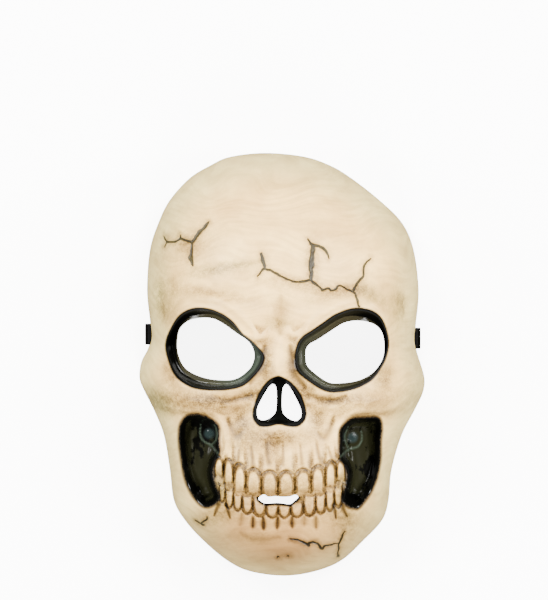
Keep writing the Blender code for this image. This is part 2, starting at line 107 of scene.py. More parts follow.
# The light
# Two large soft boxes stand high over the brows, and one each at the crown, the chin and both sides.
# The crown's and the chin's aren't seen in the gloss, or they would lie as white patches on the black.
SOFT_BOXES = (
    # name, place, size, watts, aimed at, seen in the gloss
    ("upper_left_box", (-0.90, 0.90, 1.30), 0.7, 78, (0, 0, 0.05), True),
    ("upper_right_box", (0.90, 0.90, 1.30), 0.7, 70, (0, 0, 0.05), True),
    ("crown_box", (0.1, 1.5, 1.0), 0.6, 30, (0, 0.05, 0.05), False),
    ("left_box", (-1.5, -0.2, 0.9), 0.5, 46, (0, 0, 0.05), True),
    ("right_box", (1.5, -0.1, 0.9), 0.5, 52, (0, 0, 0.05), True),
    ("chin_box", (0.1, -1.5, 1.0), 0.5, 72, (0, -0.05, 0.05), False),
)
for name, place, size, watts, aim, seen in SOFT_BOXES:
    light = bpy.data.lights.new(name, "AREA")
    light.size = size
    light.energy = watts
    box = bpy.data.objects.new(name, light)
    box.location = place
    box.rotation_euler = (Vector(aim) - Vector(place)).to_track_quat("-Z", "Y").to_euler()
    box.visible_glossy = seen
    bpy.context.scene.collection.objects.link(box)
room = bpy.data.worlds.new("studio")
room.use_nodes = True
room.node_tree.nodes["Background"].inputs["Color"].default_value = linear("#FFFFFF")
room.node_tree.nodes["Background"].inputs["Strength"].default_value = 0.2
bpy.context.scene.world = room


# The formed face
# One sheet of white polystyrene, vacuum-formed over a sculpted skull, with the eyes, nostrils and
# mouth slit cut out and the rim trimmed in one plane. It is about a millimetre and a half thick.
# Places across and up are shares of half its width and half its height, and heights are shares of
# its depth.
MASK_WIDTH = 0.189
MASK_HEIGHT = 0.280
MASK_DEPTH = 0.088
WALL = 0.0015

# Outline of the rim: height up, then how far it reaches left and right.
RIM = (
    (1.000, -0.112, -0.112),
    (0.982, -0.365, 0.161),
    (0.939, -0.509, 0.344),
    (0.882, -0.646, 0.484),
    (0.778, -0.786, 0.681),
    (0.669, -0.867, 0.842),
    (0.541, -0.926, 0.923),
    (0.352, -0.946, 0.958),
    (0.200, -0.924, 0.940),
    (0.125, -0.916, 0.930),
    (0.068, -0.944, 0.942),
    (0.011, -0.986, 0.968),
    (-0.065, -0.999, 0.999),
    (-0.131, -0.961, 0.989),
    (-0.216, -0.898, 0.930),
    (-0.335, -0.828, 0.839),
    (-0.500, -0.786, 0.768),
    (-0.643, -0.758, 0.747),
    (-0.737, -0.681, 0.702),
    (-0.832, -0.554, 0.572),
    (-0.927, -0.386, 0.418),
    (-0.979, -0.225, 0.232),
    (-1.000, 0.014, 0.014),
)

# Profile down the middle of the face: height up, height over the floor of the full dome.
PROFILE = (
    (1.00, 0.80), (0.70, 0.88), (0.45, 0.93), (0.22, 0.93), (0.05, 0.89),
    (-0.20, 0.88), (-0.45, 0.93), (-0.65, 1.00), (-0.82, 1.06), (-1.00, 1.08),
)
DOME_FULLNESS = 2.6

# Rounded swellings and dents: centre across and up, half lengths across and up, turn in degrees,
# and rise (a dent is negative).
RELIEF = (
    ("bridge", -0.02, 0.05, 0.11, 0.13, 0, 0.045),
    ("nasal_tip", -0.02, -0.03, 0.10, 0.06, 0, 0.040),
    ("nasion", -0.02, 0.19, 0.12, 0.06, 0, -0.030),
    ("left_brow", -0.36, 0.28, 0.28, 0.065, -20, 0.065),
    ("right_brow", 0.33, 0.28, 0.28, 0.065, 24, 0.065),
    ("left_temple_dent", -0.84, 0.27, 0.10, 0.12, 0, -0.075),
    ("right_temple_dent", 0.85, 0.27, 0.10, 0.12, 0, -0.075),
    ("left_cheekbone", -0.60, -0.165, 0.27, 0.055, -8, 0.095),
    ("right_cheekbone", 0.60, -0.170, 0.27, 0.055, 8, 0.095),
    ("left_under_eye", -0.27, -0.215, 0.10, 0.060, 20, -0.045),
    ("right_under_eye", 0.23, -0.215, 0.10, 0.060, -20, -0.045),
    ("spine", -0.02, -0.30, 0.07, 0.040, 0, 0.030),
    ("upper_jaw", -0.02, -0.48, 0.36, 0.16, 0, 0.050),
    ("mouth_line", -0.02, -0.62, 0.45, 0.030, 0, -0.030),
    ("chin_fold", -0.02, -0.770, 0.36, 0.075, 0, -0.020),
    ("chin", -0.01, -0.86, 0.22, 0.080, 0, 0.035),
    ("crown_fullness", -0.20, 0.62, 0.45, 0.22, 0, 0.020),
)


def smooth_curve(points, steps, closed=True):
    """Returns a smooth curve through points, with even steps between neighbours."""
    points = np.array(points, dtype=float)
    if not closed:
        points = np.vstack([points[:1], points, points[-1:]])
    before, after, later = np.roll(points, 1, 0), np.roll(points, -1, 0), np.roll(points, -2, 0)
    spans = list(zip(before, points, after, later))
    if not closed:
        spans = spans[1:-2]
    curve = []
    for p0, p1, p2, p3 in spans:
        for t in np.arange(steps) / steps:
            bend = (2 * p0 - 5 * p1 + 4 * p2 - p3) * t ** 2 + (3 * p1 - p0 - 3 * p2 + p3) * t ** 3
            curve.append((2 * p1 + (p2 - p0) * t + bend) / 2)
    if not closed:
        curve.append(points[-1])
    return np.array(curve)


def to_metres(shares):
    """Turns shares of the outline into metres."""
    return shares * np.tile([MASK_WIDTH / 2, MASK_HEIGHT / 2], shares.shape[1] // 2)


def smooth_step(value):
    """Eases from 0 to 1."""
    value = np.clip(value, 0, 1)
    return value * value * (3 - 2 * value)


FAR = 0.016


def near_box(points, margin, x, y):
    """Whether each place lies within a margin of the box round some points."""
    low, high = points.min(0) - margin, points.max(0) + margin
    return (x > low[0]) & (x < high[0]) & (y > low[1]) & (y < high[1])


def to_segments(start, along, px, py):
    """Distance from each place to each segment, and the share of it at which the nearest point lies."""
    share = (px - start[:, 0]) * along[:, 0] + (py - start[:, 1]) * along[:, 1]
    share = np.clip(share / (along ** 2).sum(1), 0, 1)
    return np.hypot(px - start[:, 0] - share * along[:, 0], py - start[:, 1] - share * along[:, 1]), share


def inside_depth(loop, x, y):
    """Distance to a closed loop, positive inside it. Beyond FAR outside it is just FAR."""
    near = near_box(loop, FAR, x, y)
    depth = np.full(len(x), -FAR)
    along = np.roll(loop, -1, 0) - loop
    px, py = x[near][:, None], y[near][:, None]
    gap, _ = to_segments(loop, along, px, py)
    straddles = (loop[:, 1] > py) != (loop[:, 1] + along[:, 1] > py)
    slope = np.where(along[:, 1] == 0, 1, along[:, 1])
    crossing = straddles & (px < loop[:, 0] + along[:, 0] * (py - loop[:, 1]) / slope)
    depth[near] = np.where(crossing.sum(1) % 2 == 1, 1, -1) * gap.min(1)
    return depth


rim = to_metres(smooth_curve([(row[1], row[0]) for row in RIM]
                             + [(row[2], row[0]) for row in RIM[-2:0:-1]], 12))
rim_angle = np.arctan2(rim[:, 1], rim[:, 0])
rim_order = np.argsort(rim_angle)
rim_angle, rim_reach = rim_angle[rim_order], np.hypot(*rim.T)[rim_order]
profile = smooth_curve(PROFILE, 8, closed=False)[::-1]


def rim_share(x, y):
    """Distance from the middle as a share of the way to the rim."""
    return np.hypot(x, y) / np.interp(np.arctan2(y, x), rim_angle, rim_reach, period=2 * np.pi)


def dome_height(x, y):
    """Height of the plain dome."""
    falling = 1 - np.clip(rim_share(x, y), 0, 1) ** DOME_FULLNESS
    return MASK_DEPTH * np.interp(2 * y / MASK_HEIGHT, *profile.T) * np.sqrt(falling)


def swelling(x, y, middle, level, reach, tall, turn):
    """1 in the middle of a turned oval, fading to 0 round it."""
    cosine, sine = math.cos(math.radians(turn)), math.sin(math.radians(turn))
    across, up = 2 * x / MASK_WIDTH - middle, 2 * y / MASK_HEIGHT - level
    proportion = MASK_HEIGHT / MASK_WIDTH
    run = across * cosine + up * proportion * sine
    lift = up * cosine - across / proportion * sine
    return np.exp(-(run / reach) ** 2 - (lift / tall) ** 2)


def grain(x, y, wide, tall, seed):
    """Smooth random values from -1 to 1, with patches of about the given width and height."""
    rng = np.random.default_rng(seed)
    lattice = rng.uniform(-1, 1, (256, 256))
    u, v = x / wide + 128, y / tall + 128
    column, row = np.floor(u).astype(int), np.floor(v).astype(int)
    s, t = smooth_step(u - column), smooth_step(v - row)
    column, row = column % 256, row % 256
    right, above = (column + 1) % 256, (row + 1) % 256
    lower = lattice[row, column] * (1 - s) + lattice[row, right] * s
    upper = lattice[above, column] * (1 - s) + lattice[above, right] * s
    return lower * (1 - t) + upper * t


# The eye sockets
# Each is a steep wall from the brim down to a narrow flat lip round the cut hole.
# A row is one station: the brim, then the same station on the hole.
LEFT_SOCKET = (
    (-0.126, 0.050, -0.191, 0.053),
    (-0.142, -0.001, -0.208, 0.002),
    (-0.200, -0.052, -0.249, -0.031),
    (-0.269, -0.091, -0.304, -0.057),
    (-0.372, -0.109, -0.373, -0.068),
    (-0.516, -0.111, -0.497, -0.063),
    (-0.632, -0.096, -0.607, -0.040),
    (-0.728, -0.052, -0.676, -0.007),
    (-0.783, 0.022, -0.714, 0.044),
    (-0.805, 0.101, -0.726, 0.095),
    (-0.763, 0.177, -0.713, 0.160),
    (-0.701, 0.235, -0.676, 0.193),
    (-0.612, 0.265, -0.621, 0.214),
    (-0.509, 0.264, -0.532, 0.222),
    (-0.413, 0.240, -0.463, 0.215),
    (-0.337, 0.203, -0.401, 0.193),
    (-0.269, 0.147, -0.318, 0.153),
    (-0.200, 0.109, -0.225, 0.107),
)
RIGHT_SOCKET = (
    (0.087, 0.027, 0.162, 0.035),
    (0.097, 0.087, 0.164, 0.074),
    (0.136, 0.133, 0.189, 0.100),
    (0.205, 0.165, 0.240, 0.119),
    (0.280, 0.200, 0.302, 0.146),
    (0.355, 0.235, 0.364, 0.174),
    (0.438, 0.258, 0.423, 0.197),
    (0.513, 0.267, 0.495, 0.208),
    (0.602, 0.258, 0.578, 0.204),
    (0.671, 0.228, 0.647, 0.186),
    (0.712, 0.175, 0.690, 0.151),
    (0.733, 0.105, 0.706, 0.095),
    (0.715, 0.040, 0.696, 0.035),
    (0.671, -0.017, 0.652, -0.015),
    (0.609, -0.068, 0.595, -0.048),
    (0.506, -0.103, 0.516, -0.071),
    (0.397, -0.119, 0.419, -0.081),
    (0.294, -0.115, 0.326, -0.079),
    (0.184, -0.071, 0.240, -0.044),
    (0.105, -0.024, 0.175, -0.003),
)
SOCKET_FLOOR = 0.78
SOCKET_WALL_SHARE = 0.62
SOCKET_LIP_RISE = 0.022
SOCKET_LIP_WIDTH = 0.0045
SOCKET_STEPS = 14

sockets = []
for table in (LEFT_SOCKET, RIGHT_SOCKET):
    stations = to_metres(smooth_curve(table, SOCKET_STEPS))
    sockets.append((stations[:, :2], stations[:, 2:]))


def socket_share(brim, hole, x, y):
    """Depth inside the brim, and how far from the brim (0) to the hole (1) a point lies."""
    into = inside_depth(brim[::2], x, y)
    to_hole = np.clip(-inside_depth(hole[::2], x, y), 0, None)
    inside = np.clip(into, 1e-9, None)
    return into, np.where(into > 0, inside / (inside + to_hole), 0)


# The nose
# A pear-shaped opening with two nostrils cut in its floor and a thin septum left between them.
NOSE_BRIM = (
    (-0.025, -0.047), (0.018, -0.058), (0.057, -0.075), (0.105, -0.111), (0.136, -0.149),
    (0.160, -0.201), (0.162, -0.231), (0.144, -0.258), (0.105, -0.277), (0.053, -0.278),
    (-0.025, -0.268), (-0.097, -0.278), (-0.152, -0.277), (-0.182, -0.260), (-0.200, -0.237),
    (-0.197, -0.201), (-0.182, -0.166), (-0.152, -0.119), (-0.113, -0.081), (-0.073, -0.058),
)
LEFT_NOSTRIL = (
    (-0.060, -0.084), (-0.042, -0.100), (-0.038, -0.138), (-0.040, -0.191), (-0.049, -0.218),
    (-0.078, -0.238), (-0.113, -0.250), (-0.148, -0.250), (-0.170, -0.234), (-0.171, -0.199),
    (-0.155, -0.172), (-0.118, -0.126), (-0.085, -0.094),
)
RIGHT_NOSTRIL = (
    (0.029, -0.084), (0.007, -0.100), (0.001, -0.125), (-0.002, -0.179), (0.007, -0.218),
    (0.036, -0.239), (0.071, -0.252), (0.103, -0.253), (0.127, -0.238), (0.132, -0.215),
    (0.121, -0.188), (0.093, -0.148), (0.060, -0.108),
)
NOSE_SINK = 0.085
NOSE_WALL = 0.0030
nose = to_metres(smooth_curve(NOSE_BRIM, 6))
nostrils = [to_metres(smooth_curve(table, 6)) for table in (LEFT_NOSTRIL, RIGHT_NOSTRIL)]


# The cheek hollows
# Closed recesses between the cheekbone, the jaw and the teeth, with a glossy lump at the top of each
# and folds running down from it.
LEFT_HOLLOW = (
    (-0.697, -0.272), (-0.647, -0.234), (-0.564, -0.231), (-0.489, -0.249), (-0.439, -0.282),
    (-0.437, -0.347), (-0.432, -0.403), (-0.464, -0.445), (-0.481, -0.499), (-0.464, -0.555),
    (-0.435, -0.603), (-0.456, -0.635), (-0.504, -0.654), (-0.552, -0.651), (-0.614, -0.606),
    (-0.665, -0.533), (-0.697, -0.426), (-0.710, -0.338),
)
RIGHT_HOLLOW = (
    (0.399, -0.300), (0.432, -0.268), (0.482, -0.247), (0.591, -0.242), (0.664, -0.247),
    (0.683, -0.291), (0.676, -0.356), (0.674, -0.443), (0.650, -0.522), (0.616, -0.578),
    (0.574, -0.623), (0.524, -0.660), (0.474, -0.657), (0.432, -0.640), (0.416, -0.612),
    (0.437, -0.561), (0.449, -0.511), (0.435, -0.465), (0.397, -0.428), (0.395, -0.365),
)
HOLLOW_SINK = 0.17
HOLLOW_WALL = 0.0055
HOLLOW_FOLDS = (
    ("left_lump", -0.502, -0.317, 0.055, 0.036, 0, 0.070),
    ("left_dip", -0.500, -0.312, 0.028, 0.018, 0, -0.040),
    ("left_fold", -0.520, -0.440, 0.016, 0.110, -8, 0.020),
    ("left_outer_fold", -0.630, -0.420, 0.016, 0.140, 4, 0.012),
    ("left_foot", -0.520, -0.600, 0.060, 0.018, 20, 0.035),
    ("right_lump", 0.486, -0.335, 0.055, 0.036, 0, 0.070),
    ("right_dip", 0.484, -0.330, 0.028, 0.018, 0, -0.040),
    ("right_fold", 0.490, -0.450, 0.016, 0.110, 8, 0.020),
    ("right_outer_fold", 0.610, -0.420, 0.016, 0.140, -4, 0.012),
    ("right_foot", 0.500, -0.605, 0.060, 0.018, -20, 0.035),
)
hollows = [to_metres(smooth_curve(table, 6)) for table in (LEFT_HOLLOW, RIGHT_HOLLOW)]


# The teeth
# Two rows in relief: rounded crowns with deep gaps, gums arched over each and the ridges of the
# roots running into the jaw. The upper row bites in front of the lower one.
# A row is the middle across, half width, and the heights of the upper and the lower end.
UPPER_TEETH = (
    (-0.434, 0.033, -0.428, -0.517),
    (-0.367, 0.034, -0.437, -0.548),
    (-0.291, 0.042, -0.458, -0.585),
    (-0.196, 0.053, -0.480, -0.590),
    (-0.086, 0.057, -0.490, -0.592),
    (0.029, 0.057, -0.490, -0.592),
    (0.142, 0.055, -0.482, -0.588),
    (0.245, 0.047, -0.466, -0.582),
    (0.331, 0.038, -0.446, -0.562),
    (0.403, 0.033, -0.434, -0.536),
)
LOWER_TEETH = (
    (-0.412, 0.023, -0.545, -0.625),
    (-0.362, 0.027, -0.570, -0.652),
    (-0.304, 0.029, -0.590, -0.664),
    (-0.238, 0.037, -0.594, -0.678),
    (-0.155, 0.045, -0.598, -0.690),
    (-0.069, 0.041, -0.634, -0.694),
    (0.015, 0.042, -0.634, -0.694),
    (0.101, 0.044, -0.622, -0.692),
    (0.187, 0.042, -0.594, -0.688),
    (0.263, 0.035, -0.590, -0.678),
    (0.327, 0.029, -0.576, -0.666),
    (0.385, 0.029, -0.556, -0.650),
    (0.432, 0.020, -0.535, -0.620),
)
TOOTH_RISE = 0.042
LOWER_SHARE = 0.8
GUM_ARCH = 0.012
GUM_BEND = 1.6
GUM_LIP = 0.010
GUM_STEP = 0.006
GUM_FALL = 0.05
ROOT_RISE = 0.018
ROOT_LENGTH = 0.120
ROOT_WIDTH = 0.55
ROOT_STEP = 0.010
# Shares of a tooth's half width and length: its neck, how much it widens, and where its tip starts.
NECK_WIDTH = 0.88
NECK_LENGTH = 0.40
FLARE = 0.10
FLARE_LENGTH = 0.8
TIP_START = 0.66
TIP_CORNER = 0.10
# Thickness of the stain, and the oval on each tooth that is wiped pale.
TOOTH_STAIN = 0.78
GAP_STAIN = 0.30
GUM_STAIN = 0.75
GUM_LINE = 0.0032
ROOT_STAIN = 0.55
PALE_HALF_WIDTH = 0.62
PALE_HALF_LENGTH = 0.48
PALE_MIDDLE = 0.66
PALE_POWER = 3
PALE_FROM = 0.78
PALE_FADE = 0.40


def teeth_relief(x, y):
    """Rise of the teeth, gums and roots, and how thick the brown stain lies round them."""
    across, up = 2 * x / MASK_WIDTH, 2 * y / MASK_HEIGHT
    crown, gum, root, cell, pale, stain = (np.zeros_like(x) for _ in range(6))
    rows = [(row, 1, 1) for row in UPPER_TEETH] + [(row, -1, LOWER_SHARE) for row in LOWER_TEETH]
    for (middle, half, top, bottom), way, full in rows:
        out = abs(across - middle) / half
        arch = way * GUM_ARCH * (1 - GUM_BEND * np.clip(out, 0, 1.2) ** 2)
        above = way * (up - (top if way > 0 else bottom) - arch)
        down = -above / abs(top - bottom)
        width = NECK_WIDTH + FLARE * smooth_step(down / FLARE_LENGTH)
        side = np.sqrt(np.clip(1 - (out / width) ** 2, 0, 1))
        past_tip = np.clip(down - TIP_START + TIP_CORNER * out * out, 0, None) / (1 - TIP_START)
        tip = np.sqrt(np.clip(1 - past_tip ** 2, 0, 1))
        crown = np.maximum(crown, full * side * smooth_step(down / NECK_LENGTH) * tip)
        beside = smooth_step((1.12 - out) / 0.12)
        own = beside * smooth_step((down + 0.03) / 0.05) * smooth_step((1.06 - down) / 0.08)
        cell = np.maximum(cell, own * (TOOTH_STAIN + GAP_STAIN * smooth_step((out - 0.84) / 0.14)))
        oval = (out / PALE_HALF_WIDTH) ** PALE_POWER
        oval = (oval + (abs(down - PALE_MIDDLE) / PALE_HALF_LENGTH) ** PALE_POWER) ** (1 / PALE_POWER)
        pale = np.maximum(pale, 1 - smooth_step((oval - PALE_FROM) / PALE_FADE))
        stain = np.maximum(stain, GUM_STAIN * beside * np.exp(-(above / GUM_LINE) ** 2))
        lip = smooth_step(above / GUM_STEP) * np.exp(-np.clip(above, 0, None) / GUM_FALL)
        gum = np.maximum(gum, beside * lip)
        if way > 0:
            reach = smooth_step(above / ROOT_STEP) * smooth_step(1.15 - above / ROOT_LENGTH)
            root = np.maximum(root, np.exp(-(out / ROOT_WIDTH) ** 2) * reach)
            stain = np.maximum(stain, ROOT_STAIN * beside * reach * smooth_step((out - 0.35) / 0.60))
    rise = TOOTH_RISE * crown + GUM_LIP * gum + ROOT_RISE * root
    return MASK_DEPTH * rise, np.maximum(stain, cell * (1 - pale))


# The mouth slit
# A low slit cut under the two middle teeth.
MOUTH_SLIT = (
    (-0.163, -0.611), (-0.126, -0.593), (-0.096, -0.604), (-0.044, -0.601), (0.000, -0.604),
    (0.055, -0.602), (0.089, -0.594), (0.111, -0.606), (0.081, -0.626), (0.048, -0.639),
    (-0.030, -0.633), (-0.111, -0.636), (-0.148, -0.624),
)
slit = to_metres(smooth_curve(MOUTH_SLIT, 6))


# The folds
# Softer ridges and grooves sculpted in the bone, and creases in the cheek hollows.
# A row is its rise in millimetres, and a run of points across and up with the half width at each in
# millimetres. The bone's own are worked deeper than their rows by FOLD_STRENGTH.
FOLD_STRENGTH = 1.6
FOLDS = (
    ("left_brow_roll", 1.1, ((-0.727, 0.249, 2.5), (-0.658, 0.290, 3.5), (-0.528, 0.314, 4.0),
     (-0.391, 0.290, 4.0), (-0.268, 0.221, 3.5), (-0.179, 0.147, 2.0))),
    ("right_brow_roll", 1.1, ((0.108, 0.119, 2.0), (0.204, 0.203, 3.5), (0.327, 0.263, 4.0),
     (0.450, 0.300, 4.0), (0.587, 0.300, 4.0), (0.697, 0.249, 2.5))),
    ("left_frown", 1.0, ((-0.247, 0.143, 1.5), (-0.165, 0.129, 2.4), (-0.111, 0.148, 2.2),
     (-0.090, 0.175, 1.0))),
    ("right_frown", 1.0, ((0.162, 0.166, 1.5), (0.101, 0.143, 2.4), (0.060, 0.148, 2.2),
     (0.039, 0.175, 1.0))),
    ("frown_crease", -0.2, ((-0.015, 0.148, 2.5), (-0.015, 0.203, 6.0), (-0.008, 0.277, 6.0),
     (-0.008, 0.323, 2.0))),
    ("left_bridge_side", -0.6, ((-0.118, 0.092, 2.0), (-0.138, 0.037, 4.5), (-0.165, -0.018, 4.5),
     (-0.220, -0.083, 1.5))),
    ("right_bridge_side", -0.6, ((0.053, 0.092, 2.0), (0.074, 0.018, 4.5), (0.101, -0.046, 4.5),
     (0.156, -0.101, 1.5))),
    ("bridge_ridge", 0.9, ((-0.022, 0.120, 2.0), (-0.029, 0.065, 3.5), (-0.036, 0.009, 3.5),
     (-0.029, -0.032, 2.0))),
    ("left_fold", -0.5, ((-0.453, -0.143, 1.0), (-0.384, -0.157, 2.0), (-0.302, -0.148, 2.0),
     (-0.207, -0.134, 1.0))),
    ("left_fold_ridge", 0.9, ((-0.371, -0.180, 2.0), (-0.302, -0.176, 3.5), (-0.220, -0.166, 3.0),
     (-0.193, -0.194, 1.5))),
    ("right_fold", -0.5, ((0.176, -0.130, 1.0), (0.258, -0.148, 2.0), (0.354, -0.157, 2.2),
     (0.436, -0.139, 1.0))),
    ("right_fold_ridge", 0.8, ((0.176, -0.166, 2.0), (0.258, -0.185, 3.5), (0.354, -0.190, 3.0),
     (0.423, -0.171, 1.5))),
    ("left_canine_fold", -0.4, ((-0.371, -0.240, 1.5), (-0.350, -0.286, 3.2), (-0.309, -0.323, 3.2),
     (-0.275, -0.296, 1.5))),
    ("right_canine_fold", -0.4, ((0.354, -0.231, 1.5), (0.327, -0.286, 3.2), (0.286, -0.333, 3.0),
     (0.245, -0.305, 1.5))),
    ("left_zygoma_edge", 1.2, ((-0.880, -0.141, 2.0), (-0.798, -0.187, 3.0), (-0.688, -0.206, 3.0),
     (-0.551, -0.206, 3.0), (-0.448, -0.229, 3.0), (-0.399, -0.289, 3.0), (-0.386, -0.359, 2.5),
     (-0.406, -0.424, 1.5))),
    ("right_zygoma_edge", 1.2, ((0.878, -0.141, 2.0), (0.796, -0.187, 3.0), (0.679, -0.210, 3.0),
     (0.535, -0.210, 3.0), (0.438, -0.233, 3.0), (0.383, -0.289, 3.0), (0.370, -0.359, 2.5),
     (0.397, -0.424, 1.5))),
    ("root_groove", -0.5, ((-0.295, -0.387, 0.9), (-0.302, -0.424, 2.0), (-0.316, -0.470, 2.9))),
    ("root_groove", -0.5, ((-0.213, -0.369, 0.9), (-0.206, -0.415, 1.9), (-0.200, -0.461, 2.6))),
    ("root_groove", -0.5, ((-0.111, -0.341, 0.9), (-0.104, -0.397, 1.9), (-0.090, -0.447, 2.6))),
    ("root_groove", -0.4, ((0.005, -0.364, 0.7), (0.005, -0.410, 1.6), (-0.001, -0.452, 2.3))),
    ("root_groove", -0.4, ((0.122, -0.360, 0.7), (0.128, -0.406, 1.6), (0.135, -0.452, 2.3))),
    ("root_groove", -0.5, ((0.231, -0.346, 0.9), (0.244, -0.397, 1.9), (0.272, -0.447, 2.6))),
    ("root_groove", -0.5, ((0.313, -0.373, 0.9), (0.333, -0.415, 1.7), (0.354, -0.447, 2.3))),
    ("root_groove", -0.4, ((-0.377, -0.410, 0.9), (-0.391, -0.443, 1.6), (-0.404, -0.470, 2.0))),
    ("lower_groove", -0.7, ((-0.202, -0.750, 1.6), (-0.200, -0.735, 2.9), (-0.200, -0.702, 1.6))),
    ("lower_groove", -0.8, ((-0.128, -0.756, 1.6), (-0.130, -0.735, 2.9), (-0.131, -0.702, 1.6))),
    ("lower_groove", -0.6, ((-0.036, -0.752, 1.6), (-0.033, -0.730, 2.9), (-0.031, -0.701, 1.6))),
    ("lower_groove", -0.6, ((0.070, -0.747, 1.6), (0.068, -0.730, 2.9), (0.067, -0.702, 1.6))),
    ("lower_groove", -0.3, ((0.152, -0.738, 1.6), (0.152, -0.723, 2.9), (0.152, -0.702, 1.6))),
    ("lower_groove", -0.5, ((0.234, -0.752, 1.6), (0.232, -0.730, 2.9), (0.231, -0.702, 1.6))),
    ("lower_groove", -0.3, ((-0.288, -0.738, 1.6), (-0.281, -0.718, 2.9), (-0.275, -0.687, 1.6))),
    ("side_groove", -0.8, ((-0.467, -0.699, 0.9), (-0.453, -0.671, 1.7), (-0.433, -0.643, 1.7))),
    ("side_groove", -0.8, ((-0.357, -0.707, 0.9), (-0.371, -0.675, 1.7), (-0.385, -0.643, 1.7))),
    ("side_groove", -0.8, ((0.368, -0.707, 0.9), (0.361, -0.675, 1.7), (0.348, -0.643, 1.7))),
    ("side_groove", -0.8, ((0.444, -0.699, 0.9), (0.423, -0.671, 1.7), (0.403, -0.643, 1.7))),
    ("left_chin_edge", -0.2, ((-0.288, -0.775, 1.5), (-0.206, -0.807, 3.0), (-0.097, -0.802, 3.0),
     (-0.015, -0.793, 1.5))),
    ("right_chin_edge", -0.2, ((0.244, -0.807, 1.5), (0.162, -0.825, 3.0), (0.067, -0.811, 2.0))),
)
HOLLOW_CREASES = (
    ("left_hollow_crease", 0.9, ((-0.560, -0.275, 0.4), (-0.567, -0.318, 0.8), (-0.542, -0.352, 0.9),
     (-0.489, -0.372, 1.0), (-0.427, -0.415, 0.8))),
    ("left_lump_edge", 0.7, ((-0.468, -0.272, 0.4), (-0.448, -0.305, 0.8), (-0.455, -0.345, 0.8),
     (-0.489, -0.372, 0.5))),
    ("right_hollow_crease", 0.9, ((0.545, -0.300, 0.4), (0.550, -0.345, 0.8), (0.521, -0.378, 0.9),
     (0.459, -0.390, 1.0), (0.397, -0.420, 0.8))),
    ("right_lump_edge", 0.7, ((0.455, -0.285, 0.4), (0.432, -0.318, 0.8), (0.436, -0.355, 0.8),
     (0.459, -0.390, 0.5))),
)


def prepare_run(points):
    """Turns a run of points and half widths into a smooth line in metres."""
    table = [(a * MASK_WIDTH / 2, b * MASK_HEIGHT / 2, c / 1000) for a, b, c in points]
    return smooth_curve(table, 6, closed=False)


def on_run(run, x, y):
    """1 on a run's line, falling to 0 at its half width."""
    near = near_box(run[:, :2], run[:, 2].max(), x, y)
    segments = run[:-1, :2], np.diff(run[:, :2], axis=0)
    gap, share = to_segments(*segments, x[near][:, None], y[near][:, None])
    level = np.zeros_like(x)
    level[near] = np.clip(1 - gap / (run[:-1, 2] + share * np.diff(run[:, 2])), 0, 1).max(1)
    return level


fold_runs = [(rise / 1000, prepare_run(points)) for _, rise, points in FOLDS]
crease_runs = [(rise / 1000, prepare_run(points)) for _, rise, points in HOLLOW_CREASES]


# The cracks
# Fine forked grooves sculpted in the bone, each a run of points with its half width in millimetres.
CRACKS = (
    ((-0.621, 0.572, 1.3), (-0.569, 0.616, 1.2), (-0.529, 0.646, 1.2), (-0.503, 0.670, 0.3)),
    ((-0.621, 0.572, 0.7), (-0.621, 0.533, 1.2), (-0.627, 0.498, 1.6), (-0.613, 0.462, 0.3)),
    ((-0.621, 0.572, 1.2), (-0.663, 0.581, 0.7), (-0.698, 0.590, 0.9), (-0.733, 0.578, 0.7),
     (-0.794, 0.578, 0.6), (-0.817, 0.605, 0.3)),
    ((-0.794, 0.578, 0.6), (-0.813, 0.552, 0.3)),
    ((-0.698, 0.590, 0.7), (-0.702, 0.605, 0.3)),
    ((-0.143, 0.517, 1.2), (-0.130, 0.484, 1.3), (-0.117, 0.449, 0.9)),
    ((-0.117, 0.449, 0.9), (-0.139, 0.440, 0.9), (-0.170, 0.411, 0.4)),
    ((-0.117, 0.449, 0.9), (-0.060, 0.434, 0.7), (0.009, 0.408, 0.7), (0.070, 0.389, 0.7),
     (0.131, 0.390, 0.7), (0.197, 0.395, 0.9)),
    ((0.197, 0.395, 0.9), (0.245, 0.367, 0.7), (0.275, 0.349, 0.7), (0.314, 0.356, 0.7),
     (0.349, 0.348, 0.7), (0.389, 0.371, 0.6), (0.437, 0.358, 0.6), (0.480, 0.343, 0.7),
     (0.502, 0.332, 0.7), (0.515, 0.302, 0.7), (0.524, 0.273, 0.7)),
    ((0.197, 0.395, 1.0), (0.201, 0.467, 1.9), (0.210, 0.549, 1.4)),
    ((0.175, 0.588, 0.4), (0.201, 0.561, 0.9), (0.254, 0.552, 0.9), (0.289, 0.538, 0.9),
     (0.311, 0.514, 0.6), (0.320, 0.497, 0.3)),
    ((0.491, 0.352, 0.9), (0.517, 0.384, 0.7), (0.552, 0.414, 0.7), (0.556, 0.450, 0.7),
     (0.574, 0.476, 0.6), (0.604, 0.497, 0.3)),
    ((0.052, -0.804, 0.4), (0.112, -0.811, 0.7), (0.157, -0.824, 0.9), (0.180, -0.834, 0.9),
     (0.187, -0.826, 0.7), (0.240, -0.826, 0.9), (0.273, -0.852, 0.9), (0.306, -0.839, 0.6),
     (0.396, -0.829, 0.3)),
    ((0.431, -0.772, 0.4), (0.397, -0.827, 0.6), (0.390, -0.863, 0.6), (0.382, -0.898, 0.3)),
    ((-0.600, -0.726, 0.4), (-0.543, -0.747, 0.6)),
    ((-0.555, -0.734, 0.6), (-0.524, -0.721, 0.6), (-0.517, -0.706, 0.3)),
    ((-0.036, -0.897, 0.2), (-0.028, -0.889, 0.4), (-0.020, -0.893, 0.2)),
    ((0.030, -0.888, 0.2), (0.040, -0.884, 0.4), (0.048, -0.890, 0.2)),
)
CRACK_DEPTH = 0.0008
CRACK_SPREAD = 1.2
CRACK_WANDER = 0.0005
WANDER_SIZE = 0.0025
crack_runs = [prepare_run(points) * (1, 1, CRACK_SPREAD) for points in CRACKS]


